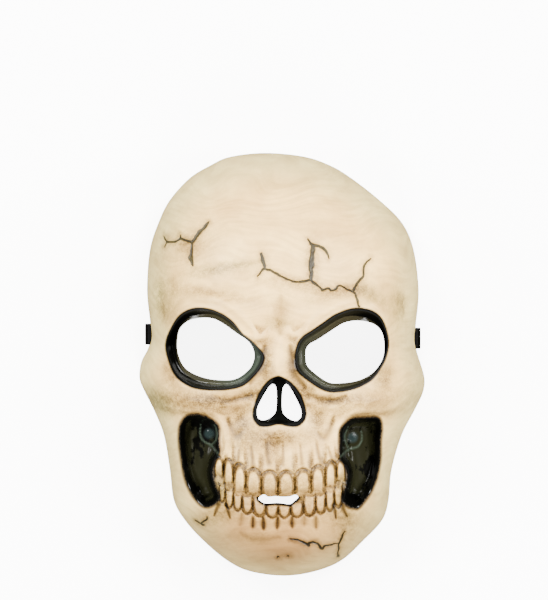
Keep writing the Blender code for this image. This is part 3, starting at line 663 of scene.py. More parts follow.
def crack_depth(x, y):
    """1 in the middle of a crack and 0 at its edge."""
    wx = x + CRACK_WANDER * grain(x, y, WANDER_SIZE, WANDER_SIZE, 11)
    wy = y + CRACK_WANDER * grain(x, y, WANDER_SIZE, WANDER_SIZE, 12)
    return np.max([on_run(run, wx, wy) for run in crack_runs], axis=0)


def near_crack(x, y, margin):
    """1 in the middle of a crack, falling to 0 at a margin beside it."""
    beside = [np.column_stack([run[:, :2], run[:, 2] + margin]) for run in crack_runs]
    return np.max([on_run(run, x, y) for run in beside], axis=0)


RIM_EASE = 0.12


def face_height(x, y):
    """Height of the outer surface, without the cracks."""
    dome = dome_height(x, y)
    near_rim = smooth_step((1 - rim_share(x, y)) / RIM_EASE)
    z = dome.copy()
    for _, middle, level, reach, tall, turn, rise in RELIEF:
        z += near_rim * MASK_DEPTH * rise * swelling(x, y, middle, level, reach, tall, turn)
    z += near_rim * teeth_relief(x, y)[0]
    for rise, run in fold_runs:
        z += FOLD_STRENGTH * rise * smooth_step(on_run(run, x, y))
    for brim, hole in sockets:
        into, share = socket_share(brim, hole, x, y)
        lip = MASK_DEPTH * SOCKET_LIP_RISE * np.exp(-(into / SOCKET_LIP_WIDTH) ** 2)
        z += np.where(into > 0, lip, lip * near_rim)
        z += smooth_step(share / SOCKET_WALL_SHARE) * (SOCKET_FLOOR * dome - z)
    z -= MASK_DEPTH * NOSE_SINK * smooth_step(inside_depth(nose, x, y) / NOSE_WALL)
    for hollow in hollows:
        down = smooth_step(inside_depth(hollow, x, y) / HOLLOW_WALL)
        z -= MASK_DEPTH * HOLLOW_SINK * down
        for _, middle, level, reach, tall, turn, rise in HOLLOW_FOLDS:
            z += down * MASK_DEPTH * rise * swelling(x, y, middle, level, reach, tall, turn)
        for rise, run in crease_runs:
            z += down * rise * smooth_step(on_run(run, x, y))
    return np.clip(z, 0, None)


# The mesh is a plan of the face, finest on the teeth and cracks, lifted to its height.
SPACINGS = (0.00045, 0.0006, 0.0010, 0.0015, 0.0022)
RIM_STEPS = (0.9995, 0.998, 0.995, 0.990, 0.982, 0.972, 0.960)
# Zones of the face that are meshed more finely: which spacing, left, right, lower and upper edge.
ZONES = (
    (3, -0.86, 0.86, -0.86, 0.38),
    (2, -0.50, 0.47, -0.76, -0.36),
    (1, -0.48, 0.45, -0.71, -0.415),
)
BESIDE_RECESS = 0.004
CRACK_MARGIN = 0.0008
GRID_REACH = 0.955
# Least gaps between the points of the plan, as shares of its spacing, and what is kept of a corner.
POINT_GAP = 0.62
HOLE_GAP = 0.5
WALL_GAP = 0.4
CORNER_SHARE = 0.93
SAME_POINT = 1e-7


def even_ring(loop, spacing):
    """Returns points at about the spacing round a closed curve."""
    closed = np.vstack([loop, loop[:1]])
    run = np.concatenate([[0], np.cumsum(np.hypot(*np.diff(closed, axis=0).T))])
    stations = np.linspace(0, run[-1], max(12, round(run[-1] / spacing)), endpoint=False)
    return np.stack([np.interp(stations, run, column) for column in closed.T], 1)


def inwards_from(loop):
    """Directions square to a closed loop, into its inside."""
    along = np.roll(loop, -1, 0) - np.roll(loop, 1, 0)
    area = (loop[:, 0] * np.roll(loop[:, 1], -1) - loop[:, 1] * np.roll(loop[:, 0], -1)).sum()
    return np.stack([-along[:, 1], along[:, 0]], 1) / np.hypot(*along.T)[:, None] * np.sign(area)


def offset_loop(loop, distance):
    """Moves a closed loop inwards by a distance, without the points that would crowd a corner."""
    moved = loop + distance * inwards_from(loop)
    return moved[np.sign(distance) * inside_depth(loop, *moved.T) > CORNER_SHARE * abs(distance)]


def hex_points(low, high, spacing):
    """Points of a grid of equal triangles over a box."""
    rows = np.arange(low[1], high[1], spacing * math.sqrt(3) / 2)
    columns = np.arange(low[0], high[0], spacing)
    x = np.concatenate([columns + (spacing / 2 if i % 2 else 0) for i in range(len(rows))])
    return x, np.repeat(rows, len(columns))


def spacing_level(x, y):
    """Which of the spacings a place is meshed at, finest first."""
    across, up = 2 * x / MASK_WIDTH, 2 * y / MASK_HEIGHT
    level = np.full(len(x), len(SPACINGS) - 1)
    for fineness, left, right, low, high in ZONES:
        level[(across > left) & (across < right) & (up > low) & (up < high)] = fineness
    for loop in [brim for brim, _ in sockets] + hollows + [nose]:
        level = np.where(inside_depth(loop, x, y) > -BESIDE_RECESS, np.minimum(level, 2), level)
    level[near_crack(x, y, CRACK_MARGIN) > 0] = 0
    return level


def lay_plan(outlines, rings, walls, spacings, level_of):
    """Triangulates the plan: its outlines, the rings that faces follow and the points between."""
    low, high = outlines[0].min(0), outlines[0].max(0)
    groups = outlines + rings
    for level, spacing in enumerate(spacings):
        x, y = hex_points(low, high, spacing)
        chosen = rim_share(x, y) < GRID_REACH
        x, y = x[chosen], y[chosen]
        chosen = level_of(x, y) == level
        for hole in outlines[1:]:
            chosen &= inside_depth(hole, x, y) < -HOLE_GAP * spacing
        for wall, width in walls:
            into = inside_depth(wall, x, y)
            chosen &= (into < -WALL_GAP * spacing) | (into > width + HOLE_GAP * spacing)
        points = np.stack([x, y], 1)[chosen]
        taken = np.vstack(groups)
        nearby = KDTree(len(taken))
        for i, (a, b) in enumerate(taken):
            nearby.insert((a, b, 0), i)
        nearby.balance()
        clear = [nearby.find((a, b, 0))[2] > POINT_GAP * spacing for a, b in points]
        groups = groups + [points[np.array(clear, bool)]]
    edges, first = [], 0
    for loop in outlines + rings:
        edges += [(first + i, first + (i + 1) % len(loop)) for i in range(len(loop))]
        first += len(loop)
    plan = delaunay_2d_cdt([Vector(point) for point in np.vstack(groups)], edges, [], 0, SAME_POINT)
    flat = np.array([tuple(point) for point in plan[0]])
    triangles = np.array(plan[2])
    middles = flat[triangles].mean(1)
    solid = inside_depth(outlines[0], *middles.T) > 0
    for hole in outlines[1:]:
        solid &= inside_depth(hole, *middles.T) < 0
    place = {source: i for i, sources in enumerate(plan[3]) for source in sources}
    loops, first = [], 0
    for loop in outlines:
        loops.append([place[first + i] for i in range(len(loop))])
        first += len(loop)
    return flat, triangles[solid], loops


HOLE_STEP = 0.0009
SMALL_HOLE_STEP = 0.8 * HOLE_STEP
SOCKET_STEP = 0.0011
NOSE_STEP = 0.0008
HOLLOW_STEP = 0.0012
RIM_STEP = 0.0022
BESIDE_BRIM = 0.0012
NOSE_SLOPE = 0.55 * NOSE_WALL
JUST_INSIDE = 1e-6
holes = [even_ring(hole, HOLE_STEP) for _, hole in sockets]
holes += [even_ring(hole, SMALL_HOLE_STEP) for hole in [*nostrils, slit]]
outer_rim = even_ring(rim, RIM_STEP)
rings = [outer_rim * share for share in RIM_STEPS]
walls = []
for brim, hole in sockets:
    rings.append(even_ring(offset_loop(brim, -BESIDE_BRIM), SOCKET_STEP))
    rings += [even_ring(brim + share * (hole - brim), SOCKET_STEP) for share in np.linspace(0, 0.9, 12)]
    walls.append((brim, math.inf))
rings += [even_ring(offset_loop(nose, share * NOSE_SLOPE + JUST_INSIDE), NOSE_STEP)
          for share in (0, 0.25, 0.5, 0.75, 1)]
walls.append((nose, NOSE_SLOPE))
for hollow in hollows:
    rings += [even_ring(offset_loop(hollow, share * HOLLOW_WALL + JUST_INSIDE), HOLLOW_STEP)
              for share in np.linspace(0, 1, 8)]
    walls.append((hollow, HOLLOW_WALL))
flat, triangles, loops = lay_plan([outer_rim] + holes, rings, walls, SPACINGS, spacing_level)

# The sheet is never quite even: low waves 7 mm long with ripples of 2.2 mm on them.
WAVE_HEIGHT = 0.00020
WAVE_LENGTH = 0.0070
RIPPLE_LENGTH = 0.0022
RIPPLE_SHARE = 0.4
CRACK_STEEPNESS = 1.4
WAVE_EASE = 0.05
x, y = flat.T
cracked = smooth_step(CRACK_STEEPNESS * crack_depth(x, y))
waves = grain(x, y, WAVE_LENGTH, WAVE_LENGTH, 3)
waves = WAVE_HEIGHT * (waves + RIPPLE_SHARE * grain(x, y, RIPPLE_LENGTH, RIPPLE_LENGTH, 4))
inner_share = smooth_step((1 - rim_share(x, y)) / WAVE_EASE)
z = face_height(x, y) + inner_share * (waves - CRACK_DEPTH * cracked)
z[loops[0]] = 0

# The back of the sheet follows the front, a wall's thickness behind it in every direction.
GRID = 0.001
BACK_SPACINGS = (0.0016, 0.0026)
BACK_STEP = 0.0022
columns = np.arange(-MASK_WIDTH / 2 - 3 * GRID, MASK_WIDTH / 2 + 4 * GRID, GRID)
rows = np.arange(-MASK_HEIGHT / 2 - 3 * GRID, MASK_HEIGHT / 2 + 4 * GRID, GRID)
grid_x, grid_y = [axis.ravel() for axis in np.meshgrid(columns, rows)]
front = face_height(grid_x, grid_y).reshape(len(rows), len(columns))
back = np.full_like(front, np.inf)
for i in (-1, 0, 1):
    for j in (-1, 0, 1):
        drop = math.sqrt(max(WALL ** 2 - (i * i + j * j) * GRID ** 2, 0))
        back = np.minimum(back, np.roll(front, (i, j), (0, 1)) - drop)
back = back.clip(0)


def read_grid(values, x, y):
    """Reads a grid of values between its points."""
    u, v = (x - columns[0]) / GRID, (y - rows[0]) / GRID
    i, j = v.astype(int).clip(0, len(rows) - 2), u.astype(int).clip(0, len(columns) - 2)
    s, t = u - j, v - i
    lower = values[i, j] * (1 - s) + values[i, j + 1] * s
    upper = values[i + 1, j] * (1 - s) + values[i + 1, j + 1] * s
    return lower * (1 - t) + upper * t


def back_level(x, y):
    """Meshes the back more finely behind the sockets, nose, hollows and teeth."""
    across, up = 2 * x / MASK_WIDTH, 2 * y / MASK_HEIGHT
    return np.where((abs(across) < 0.84) & (up < 0.34) & (up > -0.80), 0, 1)


inner_rim = outer_rim + WALL * inwards_from(outer_rim)
back_rings = [inner_rim * share for share in (0.998, 0.993, 0.985, 0.972)]
back_walls = []
for brim, hole in sockets:
    for share in (0, 0.2, 0.4, 0.6, 0.8):
        back_rings.append(even_ring(brim + share * (hole - brim), BACK_STEP))
    back_walls.append((brim, math.inf))
back_flat, back_triangles, back_loops = lay_plan([inner_rim] + holes, back_rings, back_walls,
                                                 BACK_SPACINGS, back_level)
back_z = read_grid(back, *back_flat.T)
back_z[back_loops[0]] = 0


def face_outwards(mesh):
    """Drops a mesh's loose points and turns all its faces outwards."""
    work = bmesh.new()
    work.from_mesh(mesh)
    bmesh.ops.delete(work, geom=[v for v in work.verts if not v.link_faces], context="VERTS")
    bmesh.ops.recalc_face_normals(work, faces=work.faces)
    work.to_mesh(mesh)
    work.free()


# The two sides are joined round the rim and at the die-cut edges of the holes.
count = len(flat)
corners = np.vstack([np.column_stack([flat, z]), np.column_stack([back_flat, back_z])])
faces = [tuple(face) for face in triangles]
faces += [tuple(face[::-1]) for face in back_triangles + count]
bare_from, bare_to = len(triangles), len(faces) + 2 * len(loops[0])
for fronts, backs in zip(loops, back_loops):
    for i in range(len(fronts)):
        a, b = fronts[i - 1], fronts[i]
        c, d = backs[i] + count, backs[i - 1] + count
        faces += [(a, b, c), (a, c, d)]
sheet = bpy.data.meshes.new("formed_face")
sheet.from_pydata(corners.tolist(), [], faces)
is_bare = [bare_from <= i < bare_to for i in range(len(faces))]
sheet.polygons.foreach_set("material_index", is_bare)
face_outwards(sheet)
formed_face = bpy.data.objects.new("formed_face", sheet)
bpy.context.scene.collection.objects.link(formed_face)

# A slot for the elastic is punched through the side wall at each temple, near the rim.
STRAP_WIDTH = 0.014
STRAP_THICKNESS = 0.0012
SLOT_CLEARANCE = 0.0003
SLOT_HEIGHT = 0.0095
LEFT_SLOT_UP = 0.143
RIGHT_SLOT_UP = 0.124
PUNCH_DEPTH = 6 * WALL
SHARP_EDGE = math.radians(50)


def temple_reach(side, up):
    """How far out the rim comes over the width of the strap: the least and the most."""
    beside = abs(rim[:, 1] - up * MASK_HEIGHT / 2) < STRAP_WIDTH / 2 + 2 * SLOT_CLEARANCE
    reach = side * rim[beside & (side * rim[:, 0] > 0), 0]
    return reach.min(), reach.max()


def slot_mouth(side, up):
    """How far out the inner face of the wall is where the strap comes through it."""
    full = MASK_DEPTH * np.interp(up, *profile.T)
    lean = (1 - (SLOT_HEIGHT / full) ** 2) ** (1 / DOME_FULLNESS)
    return temple_reach(side, up)[0] * lean - WALL - 2 * SLOT_CLEARANCE


for side, up in ((-1, LEFT_SLOT_UP), (1, RIGHT_SLOT_UP)):
    bpy.ops.mesh.primitive_cube_add(size=1, location=(side * slot_mouth(side, up),
                                                      up * MASK_HEIGHT / 2, SLOT_HEIGHT))
    punch = bpy.context.object
    punch.scale = (PUNCH_DEPTH, STRAP_WIDTH + 2 * SLOT_CLEARANCE, STRAP_THICKNESS + 2 * SLOT_CLEARANCE)
    cut = formed_face.modifiers.new("slot", "BOOLEAN")
    cut.operation = "DIFFERENCE"
    cut.object = punch
    bpy.context.view_layer.update()
    cut_face = formed_face.evaluated_get(bpy.context.evaluated_depsgraph_get())
    punched = bpy.data.meshes.new_from_object(cut_face)
    formed_face.modifiers.clear()
    formed_face.data = punched
    bpy.data.objects.remove(punch)
formed_face.data.shade_smooth()
formed_face.data.set_sharp_from_angle(angle=SHARP_EDGE)


# The painted finish
# The front is sprayed bone white, washed with brown and olive and lacquered gloss black in the
# recesses. Painted shade darkens and cools it towards the rim, lies in the broad hollows and in part
# of the brown and olive spots, and painted highlights lie on the raised folds and on the lumps and
# creases in the hollows, with a painted sheen on the flange beside the nose. The paint is masks of
# distance and soft spots, stored on the mesh and broken up by grain.
# Spots are centre across and up, half lengths across and up, turn and strength.
# Brown spots are airbrushed wash; those under the eyes and nose, at the eye corners, under the cheekbones,
# beside the bridge and nose and under the frown folds are painted shade as well.
BROWN_SPOTS = (
    ("mouth", -0.010, -0.590, 0.42, 0.120, 0, 0.30),
    ("under_nose", -0.029, -0.330, 0.14, 0.035, 0, 0.62),
    ("under_nose_left", -0.070, -0.375, 0.06, 0.050, 10, 0.45),
    ("left_under_eye", -0.440, -0.165, 0.20, 0.028, -4, 0.55),
    ("left_inner_eye", -0.205, -0.135, 0.09, 0.035, 25, 0.70),
    ("right_under_eye", 0.330, -0.165, 0.16, 0.028, 6, 0.70),
    ("right_inner_eye", 0.150, -0.120, 0.07, 0.050, -30, 0.72),
    ("left_hollow_top", -0.600, -0.212, 0.16, 0.018, -4, 0.65),
    ("right_hollow_top", 0.580, -0.222, 0.16, 0.018, 4, 0.65),
    ("left_socket_corner", -0.760, -0.030, 0.06, 0.060, 0, 0.40),
    ("right_socket_corner", 0.700, -0.050, 0.06, 0.060, 0, 0.40),
    ("left_cheekbone", -0.560, -0.175, 0.30, 0.060, -6, 0.38),
    ("right_cheekbone", 0.560, -0.180, 0.30, 0.060, 6, 0.22),
    ("left_maxilla", -0.270, -0.330, 0.13, 0.080, 0, 0.18),
    ("right_maxilla", 0.230, -0.330, 0.13, 0.080, 0, 0.12),
    ("left_nose_side", -0.280, -0.235, 0.05, 0.060, 0, 0.50),
    ("right_nose_side", 0.240, -0.235, 0.05, 0.060, 0, 0.45),
    ("bridge_left", -0.115, 0.010, 0.05, 0.090, 0, 0.60),
    ("bridge_right", 0.075, 0.010, 0.04, 0.090, 0, 0.55),
    ("left_frown_shade", -0.160, 0.110, 0.07, 0.016, 12, 0.45),
    ("right_frown_shade", 0.110, 0.120, 0.06, 0.016, -12, 0.45),
    ("frown", -0.010, 0.250, 0.09, 0.090, 0, 0.10),
    ("left_jaw", -0.560, -0.720, 0.12, 0.040, 20, 0.14),
    ("right_jaw", 0.440, -0.740, 0.10, 0.080, -20, 0.20),
    ("left_forehead_node", -0.640, 0.560, 0.08, 0.050, 0, 0.25),
    ("centre_crack", 0.205, 0.470, 0.05, 0.100, 0, 0.25),
    ("middle_crack", 0.150, 0.370, 0.34, 0.030, -8, 0.16),
    ("left_brow", -0.480, 0.330, 0.26, 0.030, -8, 0.25),
    ("right_brow", 0.400, 0.340, 0.22, 0.030, 14, 0.22),
)
SEPIA_SPOTS = (
    ("jaw", 0.000, -0.800, 0.60, 0.160, 0, 0.22),
    ("chin", 0.000, -0.870, 0.30, 0.070, 0, 0.26),
    ("chin_left", -0.330, -0.790, 0.16, 0.060, 20, 0.14),
    ("forehead_left", -0.350, 0.720, 0.30, 0.120, 20, 0.05),
    ("forehead_right", 0.400, 0.640, 0.30, 0.160, -20, 0.05),
    ("forehead_top", 0.050, 0.880, 0.50, 0.060, 0, 0.04),
)
# Olive-grey spots are a wash; those in the temple dents, at the nasion, in the chin fold, at the ends of
# the teeth and at the cheek ends are painted shade as well.
OLIVE_SPOTS = (
    ("left_brow_arc", -0.392, 0.452, 0.22, 0.022, 10, 0.32),
    ("right_temple", 0.790, 0.265, 0.08, 0.110, 0, 0.14),
    ("right_temple_core", 0.800, 0.300, 0.035, 0.050, 0, 0.14),
    ("left_temple", -0.800, 0.290, 0.10, 0.130, 0, 0.20),
    ("left_temple_core", -0.850, 0.330, 0.030, 0.060, 0, 0.16),
    ("left_forehead", -0.620, 0.560, 0.26, 0.140, 0, 0.08),
    ("right_brow_end", 0.600, 0.330, 0.12, 0.030, -30, 0.24),
    ("nasion", -0.020, 0.200, 0.10, 0.025, 0, 0.16),
    ("chin_fold", -0.150, -0.800, 0.22, 0.030, 0, 0.14),
    ("left_teeth_end", -0.440, -0.560, 0.07, 0.090, 0, 0.45),
    ("right_teeth_end", 0.440, -0.560, 0.06, 0.090, 0, 0.40),
    ("left_teeth_foot", -0.400, -0.690, 0.12, 0.050, 20, 0.16),
    ("right_teeth_foot", 0.400, -0.690, 0.12, 0.050, -20, 0.16),
    ("left_cheek_end", -0.860, -0.170, 0.12, 0.050, -25, 0.30),
    ("right_cheek_end", 0.880, -0.150, 0.12, 0.050, 25, 0.05),
    ("left_upper_jaw", -0.270, -0.330, 0.13, 0.080, 0, 0.12),
    ("left_jaw_edge", -0.830, -0.420, 0.06, 0.200, 6, 0.10),
)
# How far in from the brim each socket's dull flange starts, and how strong a painted teal sheen
# lies on it, by direction in degrees round the hole. The right one has less sheen than the left.
FLANGE = (
    (-180, 0.92, 0.0), (-135, 0.62, 0.1), (-90, 0.48, 0.2), (-45, 0.40, 0.7), (0, 0.36, 0.7),
    (45, 0.45, 0.1), (90, 0.50, 0.0), (135, 0.78, 0.0), (180, 0.92, 0.0),
)


def spots(table, x, y):
    """Adds up soft spots without going over 1."""
    bare = np.ones_like(x)
    for _, middle, level, reach, tall, turn, strength in table:
        bare *= 1 - strength * swelling(x, y, middle, level, reach, tall, turn)
    return 1 - bare


def blurred(values, times):
    """Blurs a grid by averaging each point with its neighbours."""
    for _ in range(times):
        for axis in (0, 1):
            values = (np.roll(values, 1, axis) + 2 * values + np.roll(values, -1, axis)) / 4
    return values


CRACK_SHADE = 0.0022
SLIT_BAND = 0.0010
SLIT_LEVEL = -0.600
INLAND_FROM = 0.94
INLAND_FADE = 0.10
# Painted shade towards the rim: where it starts and how far it grows, as shares of the way out.
SIDE_FROM = 0.76
SIDE_FADE = 0.22
DENT_BLUR = 24
BASIN_BLUR = 240

mesh = formed_face.data
places = np.empty(3 * len(mesh.vertices))
mesh.vertices.foreach_get("co", places)
x, y, _ = places.reshape(-1, 3).T
crisp = inside_depth(nose, x, y)
flange, teal_sheen = np.full_like(x, -FAR), np.zeros_like(x)
for side, strongest_sheen, (brim, hole) in zip((1, -1), (1.0, 0.4), sockets):
    into, share = socket_share(brim, hole, x, y)
    crisp = np.maximum(crisp, into)
    middle = hole.mean(0)
    direction = np.degrees(np.arctan2(y - middle[1], side * (x - middle[0])))
    table = np.array(FLANGE)
    start = np.interp(direction, table[:, 0], table[:, 1])
    width = into + np.clip(-inside_depth(hole, x, y), 0, None)
    within = into > 0
    flange = np.where(within, (share - start) * width, flange)
    teal_sheen = np.where(within, strongest_sheen * np.interp(direction, table[:, 0], table[:, 2]), teal_sheen)
soft = np.maximum(inside_depth(hollows[0], x, y), inside_depth(hollows[1], x, y))
low_slit = np.where(2 * y / MASK_HEIGHT < SLIT_LEVEL, inside_depth(slit, x, y) + SLIT_BAND, -FAR)
inland = smooth_step((INLAND_FROM - rim_share(x, y)) / INLAND_FADE)
cavity = inland * read_grid(blurred(front, DENT_BLUR) - front, x, y)
# Painted shade: how far each place lies below its broad surroundings.
basin = inland * read_grid(blurred(front, BASIN_BLUR) - front, x, y)
masks = {
    "crisp_mm": 1000 * np.maximum(crisp, low_slit),
    "soft_mm": 1000 * soft,
    "flange_mm": 1000 * flange,
    "teal_sheen": teal_sheen,
    "crack": crack_depth(x, y),
    "by_crack": smooth_step(near_crack(x, y, CRACK_SHADE)),
    "stain": teeth_relief(x, y)[1],
    "groove": np.max([on_run(run, x, y) * min(1, -1000 * rise)
                      for rise, run in fold_runs if rise < 0], 0),
    "ridge": np.max([on_run(run, x, y) for rise, run in fold_runs if rise > 0], 0),
    # Where the painted highlights lie along the creases and on the lumps of the hollows.
    "crease": smooth_step(np.max([on_run(run, x, y) for _, run in crease_runs], 0)),
    "boss": np.max([swelling(x, y, *row[1:6]) for row in HOLLOW_FOLDS if "lump" in row[0]], 0),
    "hollow_mm": 1000 * cavity,
    "basin_shade_mm": 1000 * basin,
    "brown": spots(BROWN_SPOTS, x, y),
    "sepia": spots(SEPIA_SPOTS, x, y),
    "olive": spots(OLIVE_SPOTS, x, y),
    # Painted shade, cooler and darker towards the rim.
    "shade_at_rim": smooth_step((rim_share(x, y) - SIDE_FROM) / SIDE_FADE),
}
for name, values in masks.items():
    mesh.attributes.new(name, "FLOAT", "POINT").data.foreach_set("value", values.astype(np.float32))

painted = bpy.data.materials.new("painted_polystyrene")
painted.use_nodes = True
tree = painted.node_tree
paint = tree.nodes["Principled BSDF"]
value = {name: add_node(tree, "ShaderNodeAttribute", {"attribute_name": name}, {}).outputs["Fac"]
         for name in masks}

# Grain: clouds of 20 mm, mottling of 4 mm and specks of 0.9 mm, and brush streaks 24 mm long and
# 3.5 mm apart that swirl over 60 mm.
SWIRL = 0.060
SWAY = (0.05, 0.05, 0.05)
STREAK = (0.024, 0.0035, 0.024)
STREAK_TURN = 0.12
place = add_node(tree, "ShaderNodeTexCoord", {}, {}).outputs["Object"]
swirl = add_node(tree, "ShaderNodeTexNoise", {}, {"Vector": place, "Scale": 1 / SWIRL, "Detail": 1})
swirled = add_node(tree, "ShaderNodeVectorMath", {"operation": "MULTIPLY_ADD"},
                   {0: swirl.outputs["Color"], 1: SWAY, 2: place})
brushed = add_node(tree, "ShaderNodeMapping", {},
                   {"Vector": swirled.outputs["Vector"], "Rotation": (0, 0, STREAK_TURN),
                    "Scale": tuple(1 / length for length in STREAK)})
GRAINS = (
    # name, laid over, size, detail, roughness
    ("clouds", place, 0.020, 5, 0.6),
    ("mottle", place, 0.004, 4, 0.65),
    ("specks", place, 0.0009, 2, 0.6),
    ("streaks", brushed.outputs["Vector"], 1, 3, 0.6),
)
for name, over, size, detail, roughness in GRAINS:
    noise = add_node(tree, "ShaderNodeTexNoise", {},
                     {"Vector": over, "Scale": 1 / size, "Detail": detail, "Roughness": roughness})
    value[name] = noise.outputs["Fac"]

# The thickness of each wash and the edge of the black, step by step. A LINEAR or SMOOTHSTEP row takes
# a value, where it starts and ends, and what it then gives. The others are sums of earlier values.
STEPS = (
    # Painted shade: cooler and darker towards the rim. Warmer in clouds, with faint brush streaks.
    ("cool_shade_at_rim", "MULTIPLY", "shade_at_rim", 0.50),
    ("warm_clouds", "LINEAR", "clouds", 0.35, 0.70, 0, 0.09),
    ("warm", "ADD", "warm_clouds", "sepia"),
    ("brush", "SMOOTHSTEP", "streaks", 0.35, 0.75, 0, 0.08),
    ("mottled", "SMOOTHSTEP", "mottle", 0.30, 0.65, 0.55, 1.20),
    ("speckled", "SMOOTHSTEP", "specks", 0.35, 0.65, 0.72, 1.30),
    ("broken", "MULTIPLY", "mottled", "speckled"),
    # Brown wash in the dents, between the teeth, beside the cracks and in the brown spots,
    # with painted shade added in the broad hollows and a painted highlight on the raised folds,
    # where the brown is thinned.
    ("dents", "SMOOTHSTEP", "hollow_mm", 0.02, 0.9, 0, 0.55),
    # Painted shade in the broad hollows.
    ("basins", "SMOOTHSTEP", "basin_shade_mm", 0.1, 3.0, 0, 0.38),
    ("dents_and_spots", "MAXIMUM", "dents", "brown"),
    ("with_basins", "ADD", "dents_and_spots", "basins"),
    ("with_teeth", "MAXIMUM", "with_basins", "stain"),
    ("with_cracks", "MULTIPLY_ADD", "by_crack", 0.22, "with_teeth"),
    # Painted highlight: on the raised folds only a quarter of the brown stays.
    ("painted_ridge_highlight", "MULTIPLY_ADD", "ridge", -0.75, 1),
    ("lightened_on_ridges", "MULTIPLY", "with_cracks", "painted_ridge_highlight"),
    ("wash_shade_and_highlight", "MULTIPLY", "lightened_on_ridges", "broken"),
    ("dull", "MULTIPLY", "olive", "broken"),
    ("in_grooves", "MULTIPLY", "groove", 0.85),
    ("in_cracks", "SMOOTHSTEP", "crack", 0, 0.45, 0, 0.68),
    ("round_brims", "SMOOTHSTEP", "crisp_mm", -1.1, 0.4, 0, 0.70),
    ("round_hollows", "SMOOTHSTEP", "soft_mm", -2.4, 0.6, 0, 1.00),
    # Gloss black fills the sockets and nose with a crisp edge and the hollows with a brushed one.
    ("ragged", "MULTIPLY_ADD", "specks", 0.7, "crisp_mm"),
    ("crisp_black", "SMOOTHSTEP", "ragged", -0.05, 0.65, 0, 1),
    ("brushed_edge", "MULTIPLY_ADD", "mottle", 3.0, "soft_mm"),
    ("dragged", "MULTIPLY_ADD", "specks", 2.0, "brushed_edge"),
    ("soft_black", "SMOOTHSTEP", "dragged", 1.9, 2.8, 0, 1),
    ("black", "MAXIMUM", "crisp_black", "soft_black"),
    ("open_floor", "SMOOTHSTEP", "dragged", 5.2, 6.6, 0, 1),
    ("patches", "SMOOTHSTEP", "clouds", 0.45, 0.50, 0, 1),
    ("thin_lacquer", "MULTIPLY", "open_floor", "patches"),
    # Painted highlight on the lumps of the hollows.
    ("boss_highlight", "SMOOTHSTEP", "boss", 0.45, 0.95, 0, 1),
    ("on_flange", "SMOOTHSTEP", "flange_mm", -0.3, 0.5, 0, 1),
    # Bone is satin with a little tooth, and the black is smooth lacquer.
    ("satin", "LINEAR", "mottle", 0.3, 0.7, 0.38, 0.50),
    ("gleam", "MULTIPLY_ADD", "black", -0.14, 0.25),
    ("rough_paint", "MULTIPLY_ADD", "streaks", 0.4, "specks"),
    ("thinner", "MULTIPLY_ADD", "black", -0.92, 1),
)
RANGE_INPUTS = ("Value", "From Min", "From Max", "To Min", "To Max")
for name, way, *given in STEPS:
    given = [value[entry] if isinstance(entry, str) else entry for entry in given]
    if way in ("LINEAR", "SMOOTHSTEP"):
        step = add_node(tree, "ShaderNodeMapRange", {"interpolation_type": way},
                        dict(zip(RANGE_INPUTS, given)))
    else:
        step = add_node(tree, "ShaderNodeMath", {"operation": way}, dict(enumerate(given)))
    value[name] = step.outputs[0]

# Over the cream ground each layer is a clear coat, which takes its tint once for every full thickness.
# The pale blue layer is painted shade towards the rim; the brown wash layer also carries painted
# shade and painted highlights, and the olive one painted shade.
WASHES = (
    ("#BCDDFF", "cool_shade_at_rim"), ("#4E3830", "warm"), ("#4B4436", "brush"), ("#4B4436", "wash_shade_and_highlight"),
    ("#424637", "dull"), ("#4B4436", "in_grooves"), ("#323A41", "in_cracks"),
    ("#2C2E34", "round_brims"), ("#302E30", "round_hollows"),
)
bone = linear("#F4CB7D")
for tint, thickness in WASHES:
    coat = add_node(tree, "ShaderNodeGamma", {}, {"Color": linear(tint), "Gamma": value[thickness]})
    bone = add_node(tree, "ShaderNodeMix", {"data_type": "RGBA", "blend_type": "MULTIPLY"},
                    {0: 1, 6: bone, 7: coat.outputs[0]}).outputs[2]

# The lacquer is thinner on the floor of the hollows. A painted green-grey highlight lies on their
# lumps and along their creases, and the flat flange round each eye hole shows a dull olive with a
# painted teal sheen beside the nose.
LACQUERS = (("#15150A", "thin_lacquer"), ("#1A2322", "boss_highlight"), ("#30382E", "crease"))
lacquer = linear("#040403")
for tint, where in LACQUERS:
    lacquer = add_node(tree, "ShaderNodeMix", {"data_type": "RGBA"},
                       {0: value[where], 6: lacquer, 7: linear(tint)}).outputs[2]
# The flange is dull olive paint with a painted teal sheen mixed in.
flange_paint_and_sheen = add_node(tree, "ShaderNodeMix", {"data_type": "RGBA"},
                       {0: value["teal_sheen"], 6: linear("#302C1D"), 7: linear("#38423A")}).outputs[2]
colour = bone
for over, where in ((lacquer, "black"), (flange_paint_and_sheen, "on_flange")):
    colour = add_node(tree, "ShaderNodeMix", {"data_type": "RGBA"},
                      {0: value[where], 6: colour, 7: over}).outputs[2]
tree.links.new(colour, paint.inputs["Base Color"])

LACQUER_ROUGHNESS, THIN_ROUGHNESS = 0.15, 0.34
BRUSH_RELIEF = 0.00006
lacquer_shine = add_node(tree, "ShaderNodeMix", {},
                         {0: value["thin_lacquer"], 2: LACQUER_ROUGHNESS, 3: THIN_ROUGHNESS})
shine = add_node(tree, "ShaderNodeMix", {},
                 {0: value["black"], 2: value["satin"], 3: lacquer_shine.outputs[0]})
tree.links.new(shine.outputs[0], paint.inputs["Roughness"])
tree.links.new(value["gleam"], paint.inputs["Specular IOR Level"])
bumps = add_node(tree, "ShaderNodeBump", {},
                 {"Height": value["rough_paint"], "Strength": value["thinner"], "Distance": BRUSH_RELIEF})
tree.links.new(bumps.outputs["Normal"], paint.inputs["Normal"])

